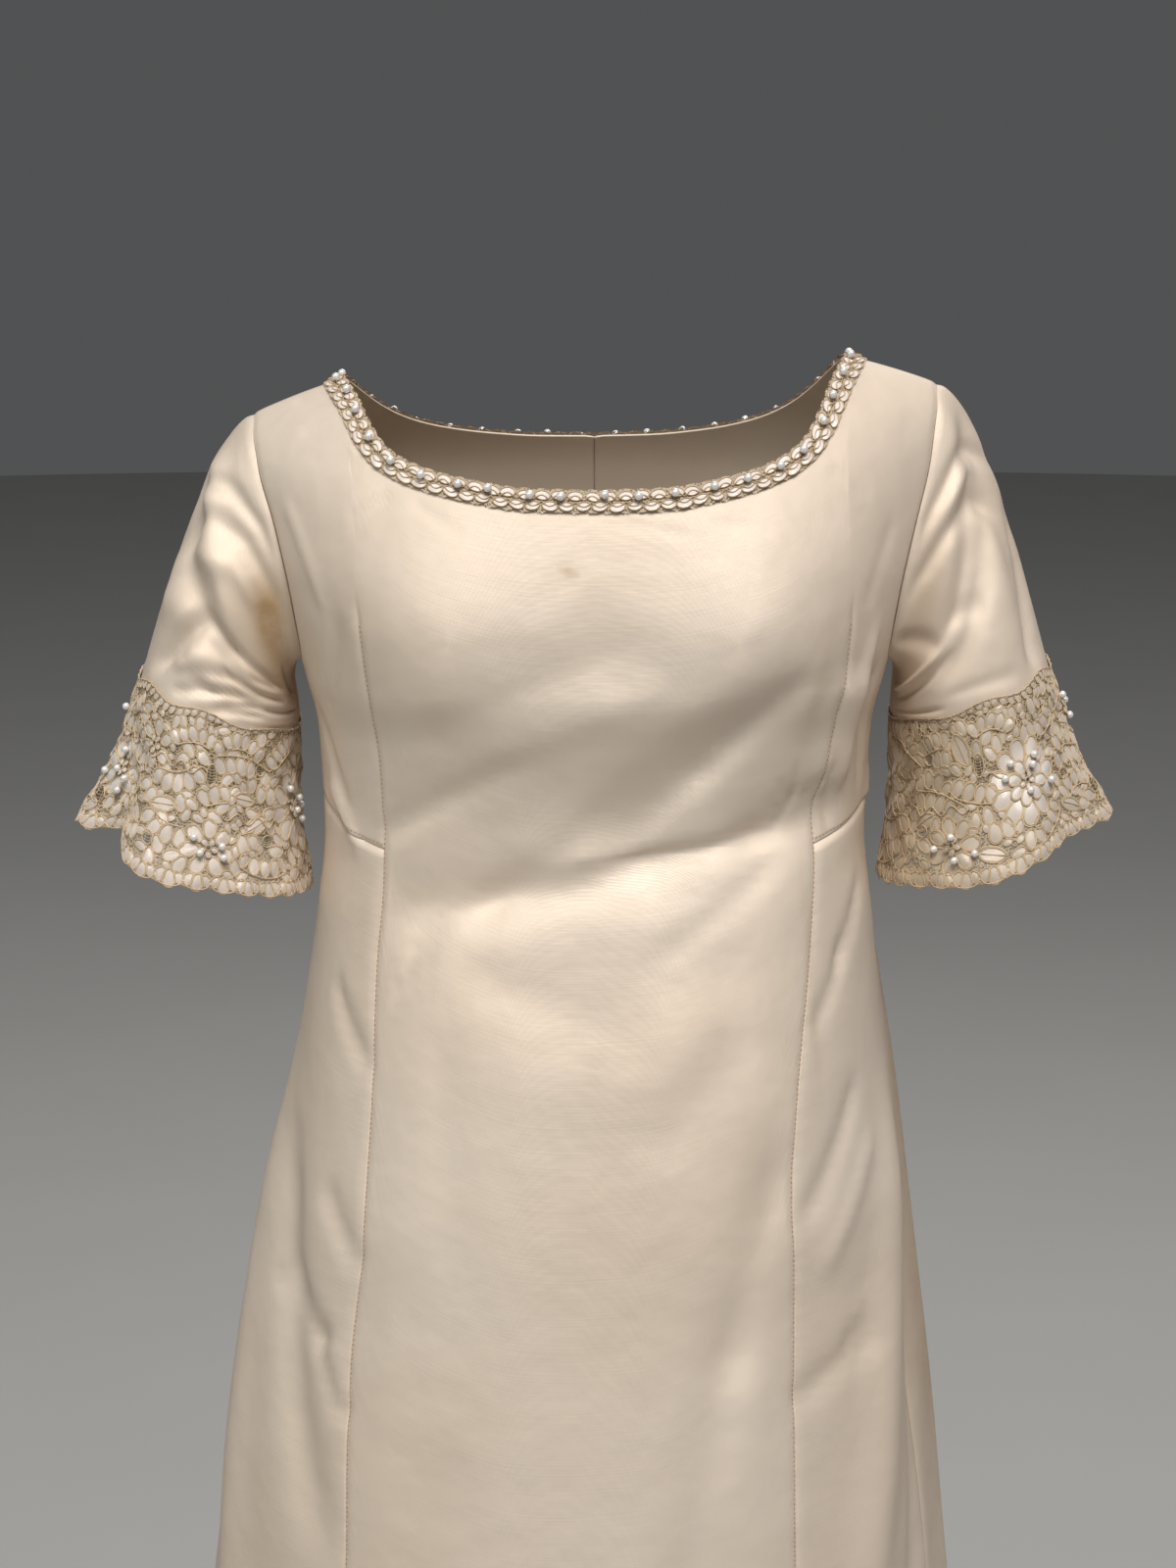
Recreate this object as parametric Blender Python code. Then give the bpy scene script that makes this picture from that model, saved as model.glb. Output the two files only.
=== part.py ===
"""Empire-line wedding dress with set-in sleeves, lace cuffs and a braided scoop neckline.

The dress is modelled as it is worn: a hollow, floor-length garment of satin panels.
Each panel is cut as a flat grid, given its wall, and then laid on the worn form.

Frame: metres, +Z up. The origin lies midway between the shoulders, at the height of the
shoulder line, where the wearer holds the dress up. The front faces -Y. Left and right are
the wearer's, so the left side is +X.

A place on the body is an angle round it, in degrees (0 at the centre front, 90 at the left
side, 180 at the centre back, negative on the right), and a drop below the shoulder line.
"""
from collections import namedtuple
from math import pi

import bmesh
import bpy
import numpy as np
from mathutils import Matrix, Vector

# ---- driving dimensions, in metres and degrees ----
LENGTH = 1.42             # shoulder line to hem
EMPIRE_DROP = 0.2430      # empire seam at the front panel seams
EMPIRE_RISE = 0.021       # how much higher that seam lies at the sides and back
SATIN_WALL = 0.0016
LACE_WALL = 0.0014
BRAID_WALL = 0.0018
SEAM_GAP = 0.0003
LAY_GAP = 0.0008          # between a panel and what is sewn on top of it

SHOULDER_TOP = 0.018      # the ridge of the shoulders, above the origin at the neck
SHOULDER_FALL = 2.79      # and how fast it falls: SHOULDER_TOP - SHOULDER_FALL * |x| ** 2.67
SHOULDER_POWER = 2.67
SHOULDER_FADE = 0.16      # drop at which the shoulders' slope has faded to level rows
SHOULDER_TILT = 0.044     # the left shoulder stands higher
TILT_FADE = 0.075

BUST_POINT = (0.098, 0.122)   # out from the centre, and drop
BUST_HEIGHT = 0.010
BUST_REACH = (0.045, 0.038)

# rows and columns of the panels' grids
ARMHOLE_ROWS = 10         # shoulder to underarm
TIP_ROW = 6               # bust dart's tip
UNDERARM_ROWS = 4         # underarm to empire seam
SKIRT_ROWS = 13
CENTRE_HALF = 7           # columns from the centre front to the panel seam
SIDE_COLUMNS = 8          # columns from the panel seam to the side
BACK_SIDE_COLUMNS = 5
BACK_SKIRT_COLUMNS = 18
SLEEVE_ROWS = 8

EMPIRE_ROW = ARMHOLE_ROWS + UNDERARM_ROWS
HEM_ROW = EMPIRE_ROW + SKIRT_ROWS
SKIRT_ROW_GROWTH = 1.35   # the skirt's rows lie further apart towards the hem

# The worn form: half width, and depth in front of and behind the side line.
# Roundness 2 is an ellipse, more is squarer.
Form = namedtuple("Form", "drop centre half_width front back side_y front_round back_round")
FORM = [
    Form(0.0000, 0.0000, 0.2000, 0.0000, 0.0000, 0.000, 2.2, 2.2),
    Form(0.0030, 0.0000, 0.1990, 0.0160, 0.0160, 0.000, 2.2, 2.2),
    Form(0.0100, 0.0000, 0.1980, 0.0330, 0.0330, 0.000, 2.2, 2.2),
    Form(0.0220, 0.0000, 0.1950, 0.0540, 0.0530, 0.001, 2.2, 2.2),
    Form(0.0400, 0.0000, 0.1910, 0.0760, 0.0740, 0.003, 2.2, 2.2),
    Form(0.0680, 0.0000, 0.1820, 0.0960, 0.0940, 0.005, 2.3, 2.2),
    Form(0.1000, 0.0000, 0.1720, 0.1120, 0.1040, 0.008, 2.4, 2.2),
    Form(0.1250, 0.0000, 0.1650, 0.1195, 0.1060, 0.010, 2.4, 2.2),
    Form(0.1550, 0.0000, 0.1565, 0.1215, 0.1050, 0.010, 2.4, 2.2),
    Form(0.1850, 0.0000, 0.1500, 0.1160, 0.1020, 0.010, 2.3, 2.2),
    Form(0.2430, 0.0000, 0.1475, 0.1045, 0.0980, 0.010, 2.3, 2.2),
    Form(0.2900, 0.0000, 0.1525, 0.1105, 0.1090, 0.010, 2.3, 2.1),
    Form(0.3325, -0.0010, 0.1580, 0.1200, 0.1220, 0.010, 2.3, 2.1),
    Form(0.3825, -0.0022, 0.1652, 0.1300, 0.1370, 0.010, 2.3, 2.1),
    Form(0.4330, -0.0045, 0.1735, 0.1390, 0.1500, 0.010, 2.3, 2.1),
    Form(0.4850, -0.0070, 0.1820, 0.1460, 0.1620, 0.011, 2.2, 2.1),
    Form(0.5900, -0.0105, 0.1975, 0.1600, 0.1820, 0.013, 2.2, 2.1),
    Form(0.7000, -0.0120, 0.2090, 0.1730, 0.2030, 0.016, 2.1, 2.0),
    Form(0.9000, -0.0160, 0.2360, 0.1990, 0.2400, 0.022, 2.0, 2.0),
    Form(1.1500, -0.0220, 0.2780, 0.2370, 0.2900, 0.032, 2.0, 2.0),
    Form(1.4400, -0.0300, 0.3330, 0.2860, 0.3480, 0.045, 2.0, 2.0),
]

# The panel seams, by how far they lie from the body's middle plane.
PanelSeam = namedtuple("PanelSeam", "drop right_x left_x")
PANEL_SEAM = [
    PanelSeam(0.000, -0.1330, 0.1330),
    PanelSeam(0.112, -0.1210, 0.1320),
    PanelSeam(0.138, -0.1185, 0.1305),
    PanelSeam(0.168, -0.1150, 0.1245),
    PanelSeam(0.198, -0.1120, 0.1202),
    PanelSeam(0.243, -0.1112, 0.1175),
    PanelSeam(0.306, -0.1155, 0.1130),
    PanelSeam(0.365, -0.1175, 0.1070),
    PanelSeam(0.413, -0.1204, 0.1045),
    PanelSeam(0.462, -0.1240, 0.1053),
    PanelSeam(0.511, -0.1295, 0.1055),
    PanelSeam(0.575, -0.1325, 0.1064),
    PanelSeam(0.630, -0.1335, 0.1073),
    PanelSeam(0.750, -0.1390, 0.1110),
    PanelSeam(1.000, -0.1520, 0.1230),
    PanelSeam(1.440, -0.1790, 0.1470),
]

# The side seams swing back on the right and forward on the left, as the skirt turns a little.
SideSeam = namedtuple("SideSeam", "drop right_angle left_angle")
SIDE_SEAM = [
    SideSeam(0.0, -90.0, 90.0),
    SideSeam(0.26, -90.0, 89.0),
    SideSeam(0.45, -92.0, 82.0),
    SideSeam(0.65, -93.0, 79.0),
    SideSeam(1.44, -92.0, 82.0),
]

# The armhole, in degrees round it from the shoulder point (0) to the underarm (180).
Armhole = namedtuple("Armhole", "around drop angle")
ARMHOLE = [
    Armhole(0.0, 0.000, 65.2),
    Armhole(36.0, 0.018, 65.8),
    Armhole(72.0, 0.060, 67.0),
    Armhole(108.0, 0.112, 71.0),
    Armhole(144.0, 0.142, 77.0),
    Armhole(162.0, 0.1515, 83.0),
    Armhole(180.0, 0.155, 90.0),
]

# The scoop neckline from the centre to the shoulder, and the lower edge of its braid.
Neck = namedtuple("Neck", "step angle drop braid_angle braid_drop")
FRONT_NECK = [
    Neck(0, 0.0, 0.0638, 0.0, 0.0728),
    Neck(1, 10.5, 0.0628, 10.8, 0.0722),
    Neck(2, 20.0, 0.0582, 20.7, 0.0688),
    Neck(3, 28.1, 0.0510, 29.6, 0.0632),
    Neck(4, 33.8, 0.0400, 37.6, 0.0520),
    Neck(5, 36.8, 0.0260, 42.2, 0.0340),
    Neck(6, 38.8, 0.0120, 43.9, 0.0145),
    Neck(7, 41.7, 0.0000, 46.0, 0.0000),
]
BACK_NECK = [
    Neck(0, 0.0, 0.0520, 0.0, 0.0640),
    Neck(1, 9.5, 0.0512, 9.8, 0.0632),
    Neck(2, 18.5, 0.0480, 19.2, 0.0595),
    Neck(3, 27.0, 0.0415, 28.4, 0.0525),
    Neck(4, 33.0, 0.0325, 35.8, 0.0415),
    Neck(5, 37.0, 0.0215, 41.0, 0.0270),
    Neck(6, 39.6, 0.0100, 44.2, 0.0115),
    Neck(7, 41.7, 0.0000, 46.0, 0.0000),
]
NECK_POINT = 41.7
BACK_SEAM = 50.0          # degrees from the centre back to the columns under the neck point

# Flutes of the skirt: they start at a drop and deepen down to the hem.
Flute = namedtuple("Flute", "start_angle start_drop hem_angle height width")
FLUTES = [
    Flute(-168.0, 0.26, -167.0, 0.026, 10.0),
    Flute(-141.0, 0.27, -143.0, 0.022, 10.0),
    Flute(-115.0, 0.30, -118.0, 0.024, 10.0),
    Flute(-97.0, 0.52, -96.0, 0.014, 7.0),
    Flute(-66.0, 0.62, -62.0, 0.012, 9.0),
    Flute(-22.0, 0.75, -27.0, 0.005, 12.0),
    Flute(14.0, 0.70, 18.0, 0.005, 12.0),
    Flute(60.0, 0.70, 58.0, 0.012, 9.0),
    Flute(94.0, 0.33, 99.0, 0.020, 8.0),
    Flute(120.0, 0.28, 121.0, 0.024, 10.0),
    Flute(145.0, 0.27, 146.0, 0.022, 10.0),
    Flute(168.0, 0.26, 170.0, 0.026, 10.0),
]

# Drag folds that fade out at both ends; a negative height is a trough.
Drag = namedtuple("Drag", "angle_a drop_a angle_b drop_b height width")
DRAGS = [
    Drag(74.0, 0.400, 47.0, 0.700, 0.0075, 0.016),
    Drag(84.0, 0.470, 66.0, 0.740, -0.0060, 0.014),
    Drag(-70.0, 0.420, -44.0, 0.610, -0.0060, 0.014),
    Drag(-84.0, 0.400, -66.0, 0.720, 0.0060, 0.018),
    Drag(97.0, 0.340, 98.0, 0.800, 0.0055, 0.016),
    Drag(8.0, 0.130, -38.0, 0.180, -0.0035, 0.020),
    Drag(32.0, 0.160, 0.0, 0.225, -0.0030, 0.016),
    Drag(-14.0, 0.245, 30.0, 0.232, 0.0035, 0.014),
    Drag(58.0, 0.150, 56.0, 0.215, 0.0045, 0.014),
]
DRAG_RADIUS = 0.15        # turns a drag's angles into a distance round the body

# Sleeves: the ring where the satin ends, and the ring of the cuff's hem.
Ring = namedtuple("Ring", "x y z half_width half_depth")
SLEEVE_END = Ring(0.2060, 0.016, -0.1755, 0.0440, 0.0590)
CUFF_END = Ring(0.2180, 0.014, -0.2560, 0.0610, 0.0670)
SLEEVE_RAISE = 0.003      # the left sleeve sits higher than the right one
ARM_LEAN = 17.0           # degrees that the sleeve leans out from upright
CUFF_OVERLAP = 0.007      # the lace lies this far up over the satin
CUFF_ROWS = 5
CUFF_BOW = 0.0035         # how far the flounce hollows between its top and its hem
SCALLOPS = 14             # on each half of a cuff
SCALLOP_COLUMNS = 3
SCALLOP_DEPTH = 0.0035
TOP_WAVE = 0.0025         # the lace's upper edge follows its flowers
TOP_WAVES = 7
CAP_REACH = 0.090         # how far the sleeve's cap runs on along the cloth
SLEEVE_SET = 0.120        # and how straight it comes to its end

# Folds of a sleeve: degrees round it from its top, and how far down it they run.
SleeveFold = namedtuple("SleeveFold", "around_a down_a around_b down_b height width")
RIGHT_SLEEVE_FOLDS = [
    SleeveFold(10.0, 0.22, 95.0, 0.50, 0.0045, 0.012),
    SleeveFold(8.0, 0.40, 120.0, 0.78, -0.0040, 0.012),
    SleeveFold(20.0, 0.66, 90.0, 0.62, 0.0030, 0.010),
    SleeveFold(200.0, 0.50, 320.0, 0.30, -0.0035, 0.014),
]
LEFT_SLEEVE_FOLDS = [
    SleeveFold(15.0, 0.20, 100.0, 0.48, -0.0045, 0.012),
    SleeveFold(30.0, 0.36, 110.0, 0.70, -0.0040, 0.011),
    SleeveFold(26.0, 0.30, 34.0, 0.90, -0.0030, 0.011),
    SleeveFold(205.0, 0.45, 320.0, 0.28, -0.0035, 0.014),
]
SLEEVE_RADIUS = 0.050     # turns a fold's degrees into a distance round the sleeve
SLEEVE_FALL = 0.150       # and its share of the length into a distance down it

# Flutes of a cuff: degrees round it from its outer side, height at the hem, width.
CuffFlute = namedtuple("CuffFlute", "around height lift width")
RIGHT_CUFF_FLUTES = [
    CuffFlute(6.0, 0.006, 0.000, 16.0),
    CuffFlute(38.0, -0.012, 0.010, 15.0),
    CuffFlute(75.0, 0.004, -0.003, 22.0),
    CuffFlute(235.0, -0.006, 0.003, 22.0),
    CuffFlute(300.0, 0.007, 0.000, 24.0),
]
LEFT_CUFF_FLUTES = [
    CuffFlute(10.0, 0.005, 0.000, 14.0),
    CuffFlute(48.0, -0.006, 0.003, 18.0),
    CuffFlute(100.0, 0.004, -0.003, 24.0),
    CuffFlute(240.0, -0.006, 0.003, 22.0),
    CuffFlute(305.0, 0.007, 0.000, 24.0),
]

# Gaps over 4 mm in the lace: degrees round the cuff, share of the way down, size.
Gap = namedtuple("Gap", "around down width height")
FRONT_GAPS = [
    Gap(15.0, 0.80, 0.0090, 0.0100),
    Gap(38.0, 0.62, 0.0060, 0.0060),
    Gap(69.0, 0.81, 0.0060, 0.0070),
    Gap(98.0, 0.32, 0.0060, 0.0120),
    Gap(130.5, 0.24, 0.0070, 0.0060),
    Gap(135.0, 0.70, 0.0070, 0.0060),
]
BACK_GAPS = [
    Gap(202.5, 0.26, 0.0060, 0.0070),
    Gap(237.5, 0.71, 0.0070, 0.0060),
    Gap(261.5, 0.37, 0.0060, 0.0120),
    Gap(296.5, 0.64, 0.0060, 0.0060),
    Gap(335.0, 0.79, 0.0080, 0.0090),
]
GAP_SIDES = 6
CUTTER_DEPTH = 0.012

# Neck braid: two rows of petals give it a scalloped edge.
BRAID_PETALS_FRONT = 48
BRAID_PETALS_BACK = 44
BRAID_ROWS = 1
PETAL_COLUMNS = 3
RIDGE_DROP = 0.0000012    # keeps the two braids apart where they meet on the shoulders
PETAL_SHARE = 0.12        # how far a petal stands past the braid's edge, of its width

# Placket over the centre-back zip, lapping from the right half over the left.
PLACKET_WIDTH = 0.018
PLACKET_TOP_ROW = 2.5     # just under the braid
PLACKET_ROWS = 18         # and down the panels' own rows, past the waist
PLACKET_COLUMNS = 2
PLACKET_SHIFT = 0.004
PLACKET_GAP = 0.0008      # the lap stands a little off the seam under it

BODY_STEPS = (0.1, 0.0002)     # degrees and metres over which the form's slopes are read
SLEEVE_STEPS = (0.5, 0.002)    # degrees and share of the length
PEEK = 0.01                    # columns

SATIN = ("satin", (0.80, 0.72, 0.62), 0.35)
LACE = ("lace", (0.78, 0.68, 0.56), 0.70)


def curve_through(table, column, key="drop", root=True):
    """A smooth reading of one column of a table, without overshoot between its rows.

    A root reading steps by the square root of the key, so that the form rounds over
    the shoulders with an upright normal."""
    keys = np.array([getattr(row, key) for row in table], dtype=float)
    if root:
        keys = np.sqrt(keys)
    values = np.array([getattr(row, column) for row in table], dtype=float)
    steps = np.diff(keys)
    climbs = np.diff(values) / steps
    slopes = np.concatenate([climbs[:1], np.zeros(len(keys) - 2), climbs[-1:]])
    for k in range(1, len(keys) - 1):
        before, after = climbs[k - 1], climbs[k]
        if before * after > 0:
            slopes[k] = 2 * before * after / (before + after)

    def read(place):
        place = np.asarray(place, dtype=float)
        if root:
            place = np.sqrt(np.clip(place, 0, None))
        place = np.clip(place, keys[0], keys[-1])
        k = np.clip(np.searchsorted(keys, place, side="right") - 1, 0, len(steps) - 1)
        t = (place - keys[k]) / steps[k]
        low = values[k] * (1 + 2 * t) * (1 - t) ** 2 + slopes[k] * steps[k] * t * (1 - t) ** 2
        high = values[k + 1] * t ** 2 * (3 - 2 * t) - slopes[k + 1] * steps[k] * t ** 2 * (1 - t)
        return low + high

    return read


form = {name: curve_through(FORM, name) for name in Form._fields[1:]}
seam_x = {-1: curve_through(PANEL_SEAM, "right_x"), 1: curve_through(PANEL_SEAM, "left_x")}
side_angle = {
    -1: curve_through(SIDE_SEAM, "right_angle"),
    1: curve_through(SIDE_SEAM, "left_angle"),
}
armhole_drop = curve_through(ARMHOLE, "drop", "around", root=False)
armhole_angle = curve_through(ARMHOLE, "angle", "around", root=False)
front_neck = {n: curve_through(FRONT_NECK, n, "step", root=False) for n in Neck._fields[1:]}
back_neck = {n: curve_through(BACK_NECK, n, "step", root=False) for n in Neck._fields[1:]}


def ease(share):
    """0 to 1 with level ends."""
    share = np.clip(share, 0, 1)
    return share * share * (3 - 2 * share)


def unit(vectors):
    return vectors / np.linalg.norm(vectors, axis=-1, keepdims=True)


def ridge(across, height, width):
    """The height of a soft ridge, at a distance across it."""
    return height * np.exp(-(across / width) ** 2)


def drag_height(along_a, down_a, along_b, down_b, height, width, along, down):
    """A fold from one point to another, in metres, that fades out at both ends."""
    run = np.hypot(along_b - along_a, down_b - down_a)
    ahead = ((along - along_a) * (along_b - along_a) + (down - down_a) * (down_b - down_a)) / run
    across = ((along - along_a) * (down_b - down_a) - (down - down_a) * (along_b - along_a)) / run
    share = ahead / run
    fade = ease(share / 0.3 + 0.5) * ease((1 - share) / 0.3 + 0.5)
    return ridge(across, height, width) * fade


def fold_height(angle, drop):
    """How far the skirt's flutes and the drag folds stand out from the form."""
    total = np.zeros_like(angle)
    for f in FLUTES:
        share = (drop - f.start_drop) / (LENGTH - f.start_drop)
        middle = f.start_angle + (f.hem_angle - f.start_angle) * share
        away = (angle - middle + 180) % 360 - 180
        total += ridge(away, f.height, f.width) * np.clip(share, 0, None) ** 0.8
    for d in DRAGS:
        total += drag_height(
            np.radians(d.angle_a) * DRAG_RADIUS, d.drop_a,
            np.radians(d.angle_b) * DRAG_RADIUS, d.drop_b,
            d.height, d.width, np.radians(angle) * DRAG_RADIUS, drop)
    return total


def worn_form(angle, drop):
    """Points of the cloth's middle, at angles round the body and drops on the cloth."""
    angle, drop = np.broadcast_arrays(np.asarray(angle, float), np.asarray(drop, float))
    turned = np.abs((angle + 180) % 360 - 180)
    seam_rise = EMPIRE_RISE * ease((turned - 42) / 48)
    seam_share = ease((drop - 0.13) / 0.10) * (1 - ease((drop - 0.28) / 0.20))
    fall = drop - seam_rise * seam_share
    sine = np.sin(np.radians(angle))
    front = turned <= 90
    depth = np.where(front, form["front"](fall), form["back"](fall))
    power = np.where(front, form["front_round"](fall), form["back_round"](fall))
    bulge = np.clip(1 - np.abs(sine) ** power, 0, 1) ** (1 / power)
    half = form["half_width"](fall)
    facing = np.where(front, -1.0, 1.0)
    x = form["centre"](fall) + half * sine
    y = form["side_y"](fall) + facing * depth * bulge
    bust = np.exp(-((np.abs(x) - BUST_POINT[0]) / BUST_REACH[0]) ** 2
                  - ((fall - BUST_POINT[1]) / BUST_REACH[1]) ** 2)
    y = y - np.where(front, BUST_HEIGHT * bust * bulge, 0.0)
    folds = fold_height(angle, drop)
    out_x = sine / half
    out_y = facing * bulge / np.maximum(depth, 0.02)
    size = np.hypot(out_x, out_y)
    x = x + folds * out_x / size
    y = y + folds * out_y / size
    slope = SHOULDER_TOP - SHOULDER_FALL * np.abs(x) ** SHOULDER_POWER
    z = -fall + slope * (1 - ease(fall / SHOULDER_FADE))
    z = z + SHOULDER_TILT * x * (1 - ease(fall / TILT_FADE))
    return np.stack([x, y, z], axis=-1)


def seam_angle(side, drop):
    """Where a panel seam lies round the body."""
    across = (seam_x[side](drop) - form["centre"](drop)) / form["half_width"](drop)
    return np.degrees(np.arcsin(np.clip(across, -1, 1)))


def slopes_of(surface, a, b, step_a, step_b):
    """A surface's points, its unit directions along a and b, and its outward normals.

    From 0 on, b isn't read below 0, where the shoulders' ridge is; only the lace that lies
    over a sleeve's end has places less than 0."""
    low_b = np.where(b < 0, b - step_b, np.maximum(b - step_b, 0))
    along_a = unit(surface(a + step_a, b) - surface(a - step_a, b))
    along_b = unit(surface(a, b + step_b) - surface(a, low_b))
    return surface(a, b), along_a, along_b, unit(np.cross(along_b, along_a))


# ---- rows ----
def row_drop(row):
    """Drop of a grid row at the panel seam and outside it."""
    row = np.asarray(row, dtype=float)
    upper = armhole_drop(np.clip(row / ARMHOLE_ROWS, 0, 1) * 180)
    underarm = ARMHOLE[-1].drop
    middle = underarm + (EMPIRE_DROP - underarm) * (row - ARMHOLE_ROWS) / UNDERARM_ROWS
    share = np.clip((row - EMPIRE_ROW) / SKIRT_ROWS, 0, 1)
    lower = EMPIRE_DROP + (LENGTH - EMPIRE_DROP) * share ** SKIRT_ROW_GROWTH
    return np.where(row <= ARMHOLE_ROWS, upper, np.where(row <= EMPIRE_ROW, middle, lower))


def edge_angle(side, row):
    """The bodice's outer edge: the armhole, then the side seam."""
    row = np.asarray(row, dtype=float)
    armhole = side * armhole_angle(np.clip(row / ARMHOLE_ROWS, 0, 1) * 180)
    return np.where(row < ARMHOLE_ROWS, armhole, side_angle[side](row_drop(row)))


def centre_place(step, row, neck, seam):
    """Angle and drop inside the panel seams; step runs from -CENTRE_HALF to CENTRE_HALF.

    Row 0 is the neckline, and the rows below it level out towards the underarm."""
    size = np.abs(step)
    share = neck["angle"](size) / NECK_POINT
    top = neck["drop"](size)
    drop = row_drop(row)
    underarm = ARMHOLE[-1].drop
    drop = np.where(row < ARMHOLE_ROWS, top + drop * (underarm - top) / underarm, drop)
    neck_angle = np.where(step < 0, -NECK_POINT, NECK_POINT)
    turn = neck_angle + (seam(step, drop) - neck_angle) * ease(row / TIP_ROW)
    return share * turn, drop


def front_seam(step, drop):
    return np.where(step < 0, seam_angle(-1, drop), seam_angle(1, drop))


def back_seam(_, drop):
    return NECK_POINT + (BACK_SEAM - NECK_POINT) * ease(drop / EMPIRE_DROP)


def front_place(column, row):
    """Column 0 is the right side, and the centre front lies in the middle."""
    step = column - SIDE_COLUMNS - CENTRE_HALF
    angle, drop = centre_place(np.clip(step, -CENTRE_HALF, CENTRE_HALF), row, front_neck, front_seam)
    beyond = np.clip(np.abs(step) - CENTRE_HALF, 0, None) / SIDE_COLUMNS
    edge = np.where(step < 0, edge_angle(-1, row), edge_angle(1, row))
    return angle + (edge - angle) * beyond, drop


def back_place(side, column, row):
    """Column 0 is the centre back, and the last column is the armhole and side seam."""
    angle, drop = centre_place(np.clip(column, 0, CENTRE_HALF), row, back_neck, back_seam)
    beyond = np.clip(column - CENTRE_HALF, 0, None) / BACK_SIDE_COLUMNS
    outer = np.abs(edge_angle(side, row))
    edge = np.where(row < ARMHOLE_ROWS, outer, 180 - outer)
    return side * (180 - (angle + (edge - angle) * beyond)), drop


# ---- cutting and laying ----
def flat_grid(columns, rows):
    """A flat pattern whose points stand at their column and row numbers."""
    bm = bmesh.new()
    bmesh.ops.create_grid(bm, x_segments=columns, y_segments=rows, size=1.0)
    for vert in bm.verts:
        vert.co.x = round((vert.co.x + 1) / 2 * columns)
        vert.co.y = round((vert.co.y + 1) / 2 * rows)
    return bm


def split_darts(bm, columns, first_row, last_row):
    """Open a dart along each given column, from its tip row down."""
    cut = []
    for edge in bm.edges:
        a, b = (vert.co for vert in edge.verts)
        low, high = sorted((a.y, b.y))
        if a.x == b.x and a.x in columns and low >= first_row and high <= last_row:
            cut.append(edge)
    bmesh.ops.split_edges(bm, edges=cut)


def lay(name, bm, place, surface, wall, lift, steps, material):
    """Give a flat pattern its wall and lay it on a surface, with half a seam gap at its edges."""
    pull_a = bm.verts.layers.int.new("pull_a")
    pull_b = bm.verts.layers.int.new("pull_b")
    outer = bm.verts.layers.int.new("outer")
    for vert in bm.verts:
        centres = [face.calc_center_median() for face in vert.link_faces]
        lean = sum(centres, Vector()) / len(centres) - vert.co
        vert[pull_a] = 0 if abs(lean.x) < 0.25 else (1 if lean.x > 0 else -1)
        vert[pull_b] = 0 if abs(lean.y) < 0.25 else (1 if lean.y > 0 else -1)
    # both sides of the wall get the same diagonals, so that it keeps its thickness in folds
    bmesh.ops.triangulate(bm, faces=bm.faces[:], quad_method="FIXED")
    made = bmesh.ops.extrude_face_region(bm, geom=bm.faces[:], use_keep_orig=True)
    for item in made["geom"]:
        if isinstance(item, bmesh.types.BMVert):
            item[outer] = 1
    flat = np.array([vert.co for vert in bm.verts])
    pulls = np.array([(vert[pull_a], vert[pull_b]) for vert in bm.verts], dtype=float)
    side = np.array([vert[outer] for vert in bm.verts], dtype=float)
    a, b = place(flat[:, 0], flat[:, 1])
    points, along_a, along_b, normal = slopes_of(surface, a, b, *steps)
    ahead, _ = place(flat[:, 0] + PEEK, flat[:, 1])
    behind, _ = place(flat[:, 0] - PEEK, flat[:, 1])
    way = np.where(ahead < behind, -1.0, 1.0)[:, None]
    points = points + along_a * way * pulls[:, :1] * SEAM_GAP / 2
    points = points + along_b * pulls[:, 1:] * SEAM_GAP / 2
    points = points + normal * (lift + (side[:, None] - 0.5) * wall)
    for vert, point in zip(bm.verts, points):
        vert.co = point
    bmesh.ops.recalc_face_normals(bm, faces=bm.faces[:])
    mesh = bpy.data.meshes.new(name)
    bm.to_mesh(mesh)
    bm.free()
    mesh.shade_smooth()
    mesh.set_sharp_from_angle(angle=pi / 3)
    mesh.materials.append(finish(*material))
    piece = bpy.data.objects.new(name, mesh)
    DRESS.objects.link(piece)
    return piece


def finish(name, colour, roughness):
    material = bpy.data.materials.get(name)
    if material is None:
        material = bpy.data.materials.new(name)
        material.use_nodes = True
        shader = material.node_tree.nodes["Principled BSDF"]
        shader.inputs["Base Color"].default_value = (*colour, 1)
        shader.inputs["Roughness"].default_value = roughness
        shader.inputs["Metallic"].default_value = 0.0
    return material


def make_front():
    """Chest, side-front bodice and centre panel in one, with a dart under each bust point."""
    columns = 2 * (SIDE_COLUMNS + CENTRE_HALF)
    seams = (SIDE_COLUMNS, columns - SIDE_COLUMNS)
    bm = flat_grid(columns, HEM_ROW)
    spare = []
    for face in bm.faces:
        middle = face.calc_center_median()
        if middle.y > EMPIRE_ROW and not seams[0] < middle.x < seams[1]:
            spare.append(face)
    bmesh.ops.delete(bm, geom=spare, context="FACES")
    split_darts(bm, seams, TIP_ROW, EMPIRE_ROW)
    lay("front", bm, front_place, worn_form, SATIN_WALL, 0.0, BODY_STEPS, SATIN)


def make_side_front(name, side):
    """Side-front skirt panel, from the panel seam round to the side seam."""
    def place(column, row):
        drop = row_drop(row + EMPIRE_ROW)
        inner = seam_angle(side, drop)
        share = column / SIDE_COLUMNS
        return inner + (edge_angle(side, row + EMPIRE_ROW) - inner) * share, drop

    bm = flat_grid(SIDE_COLUMNS, SKIRT_ROWS)
    lay(name, bm, place, worn_form, SATIN_WALL, 0.0, BODY_STEPS, SATIN)


def make_back_bodice(name, side):
    bm = flat_grid(CENTRE_HALF + BACK_SIDE_COLUMNS, EMPIRE_ROW)
    lay(name, bm, lambda c, r: back_place(side, c, r), worn_form, SATIN_WALL, 0.0, BODY_STEPS, SATIN)


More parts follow.
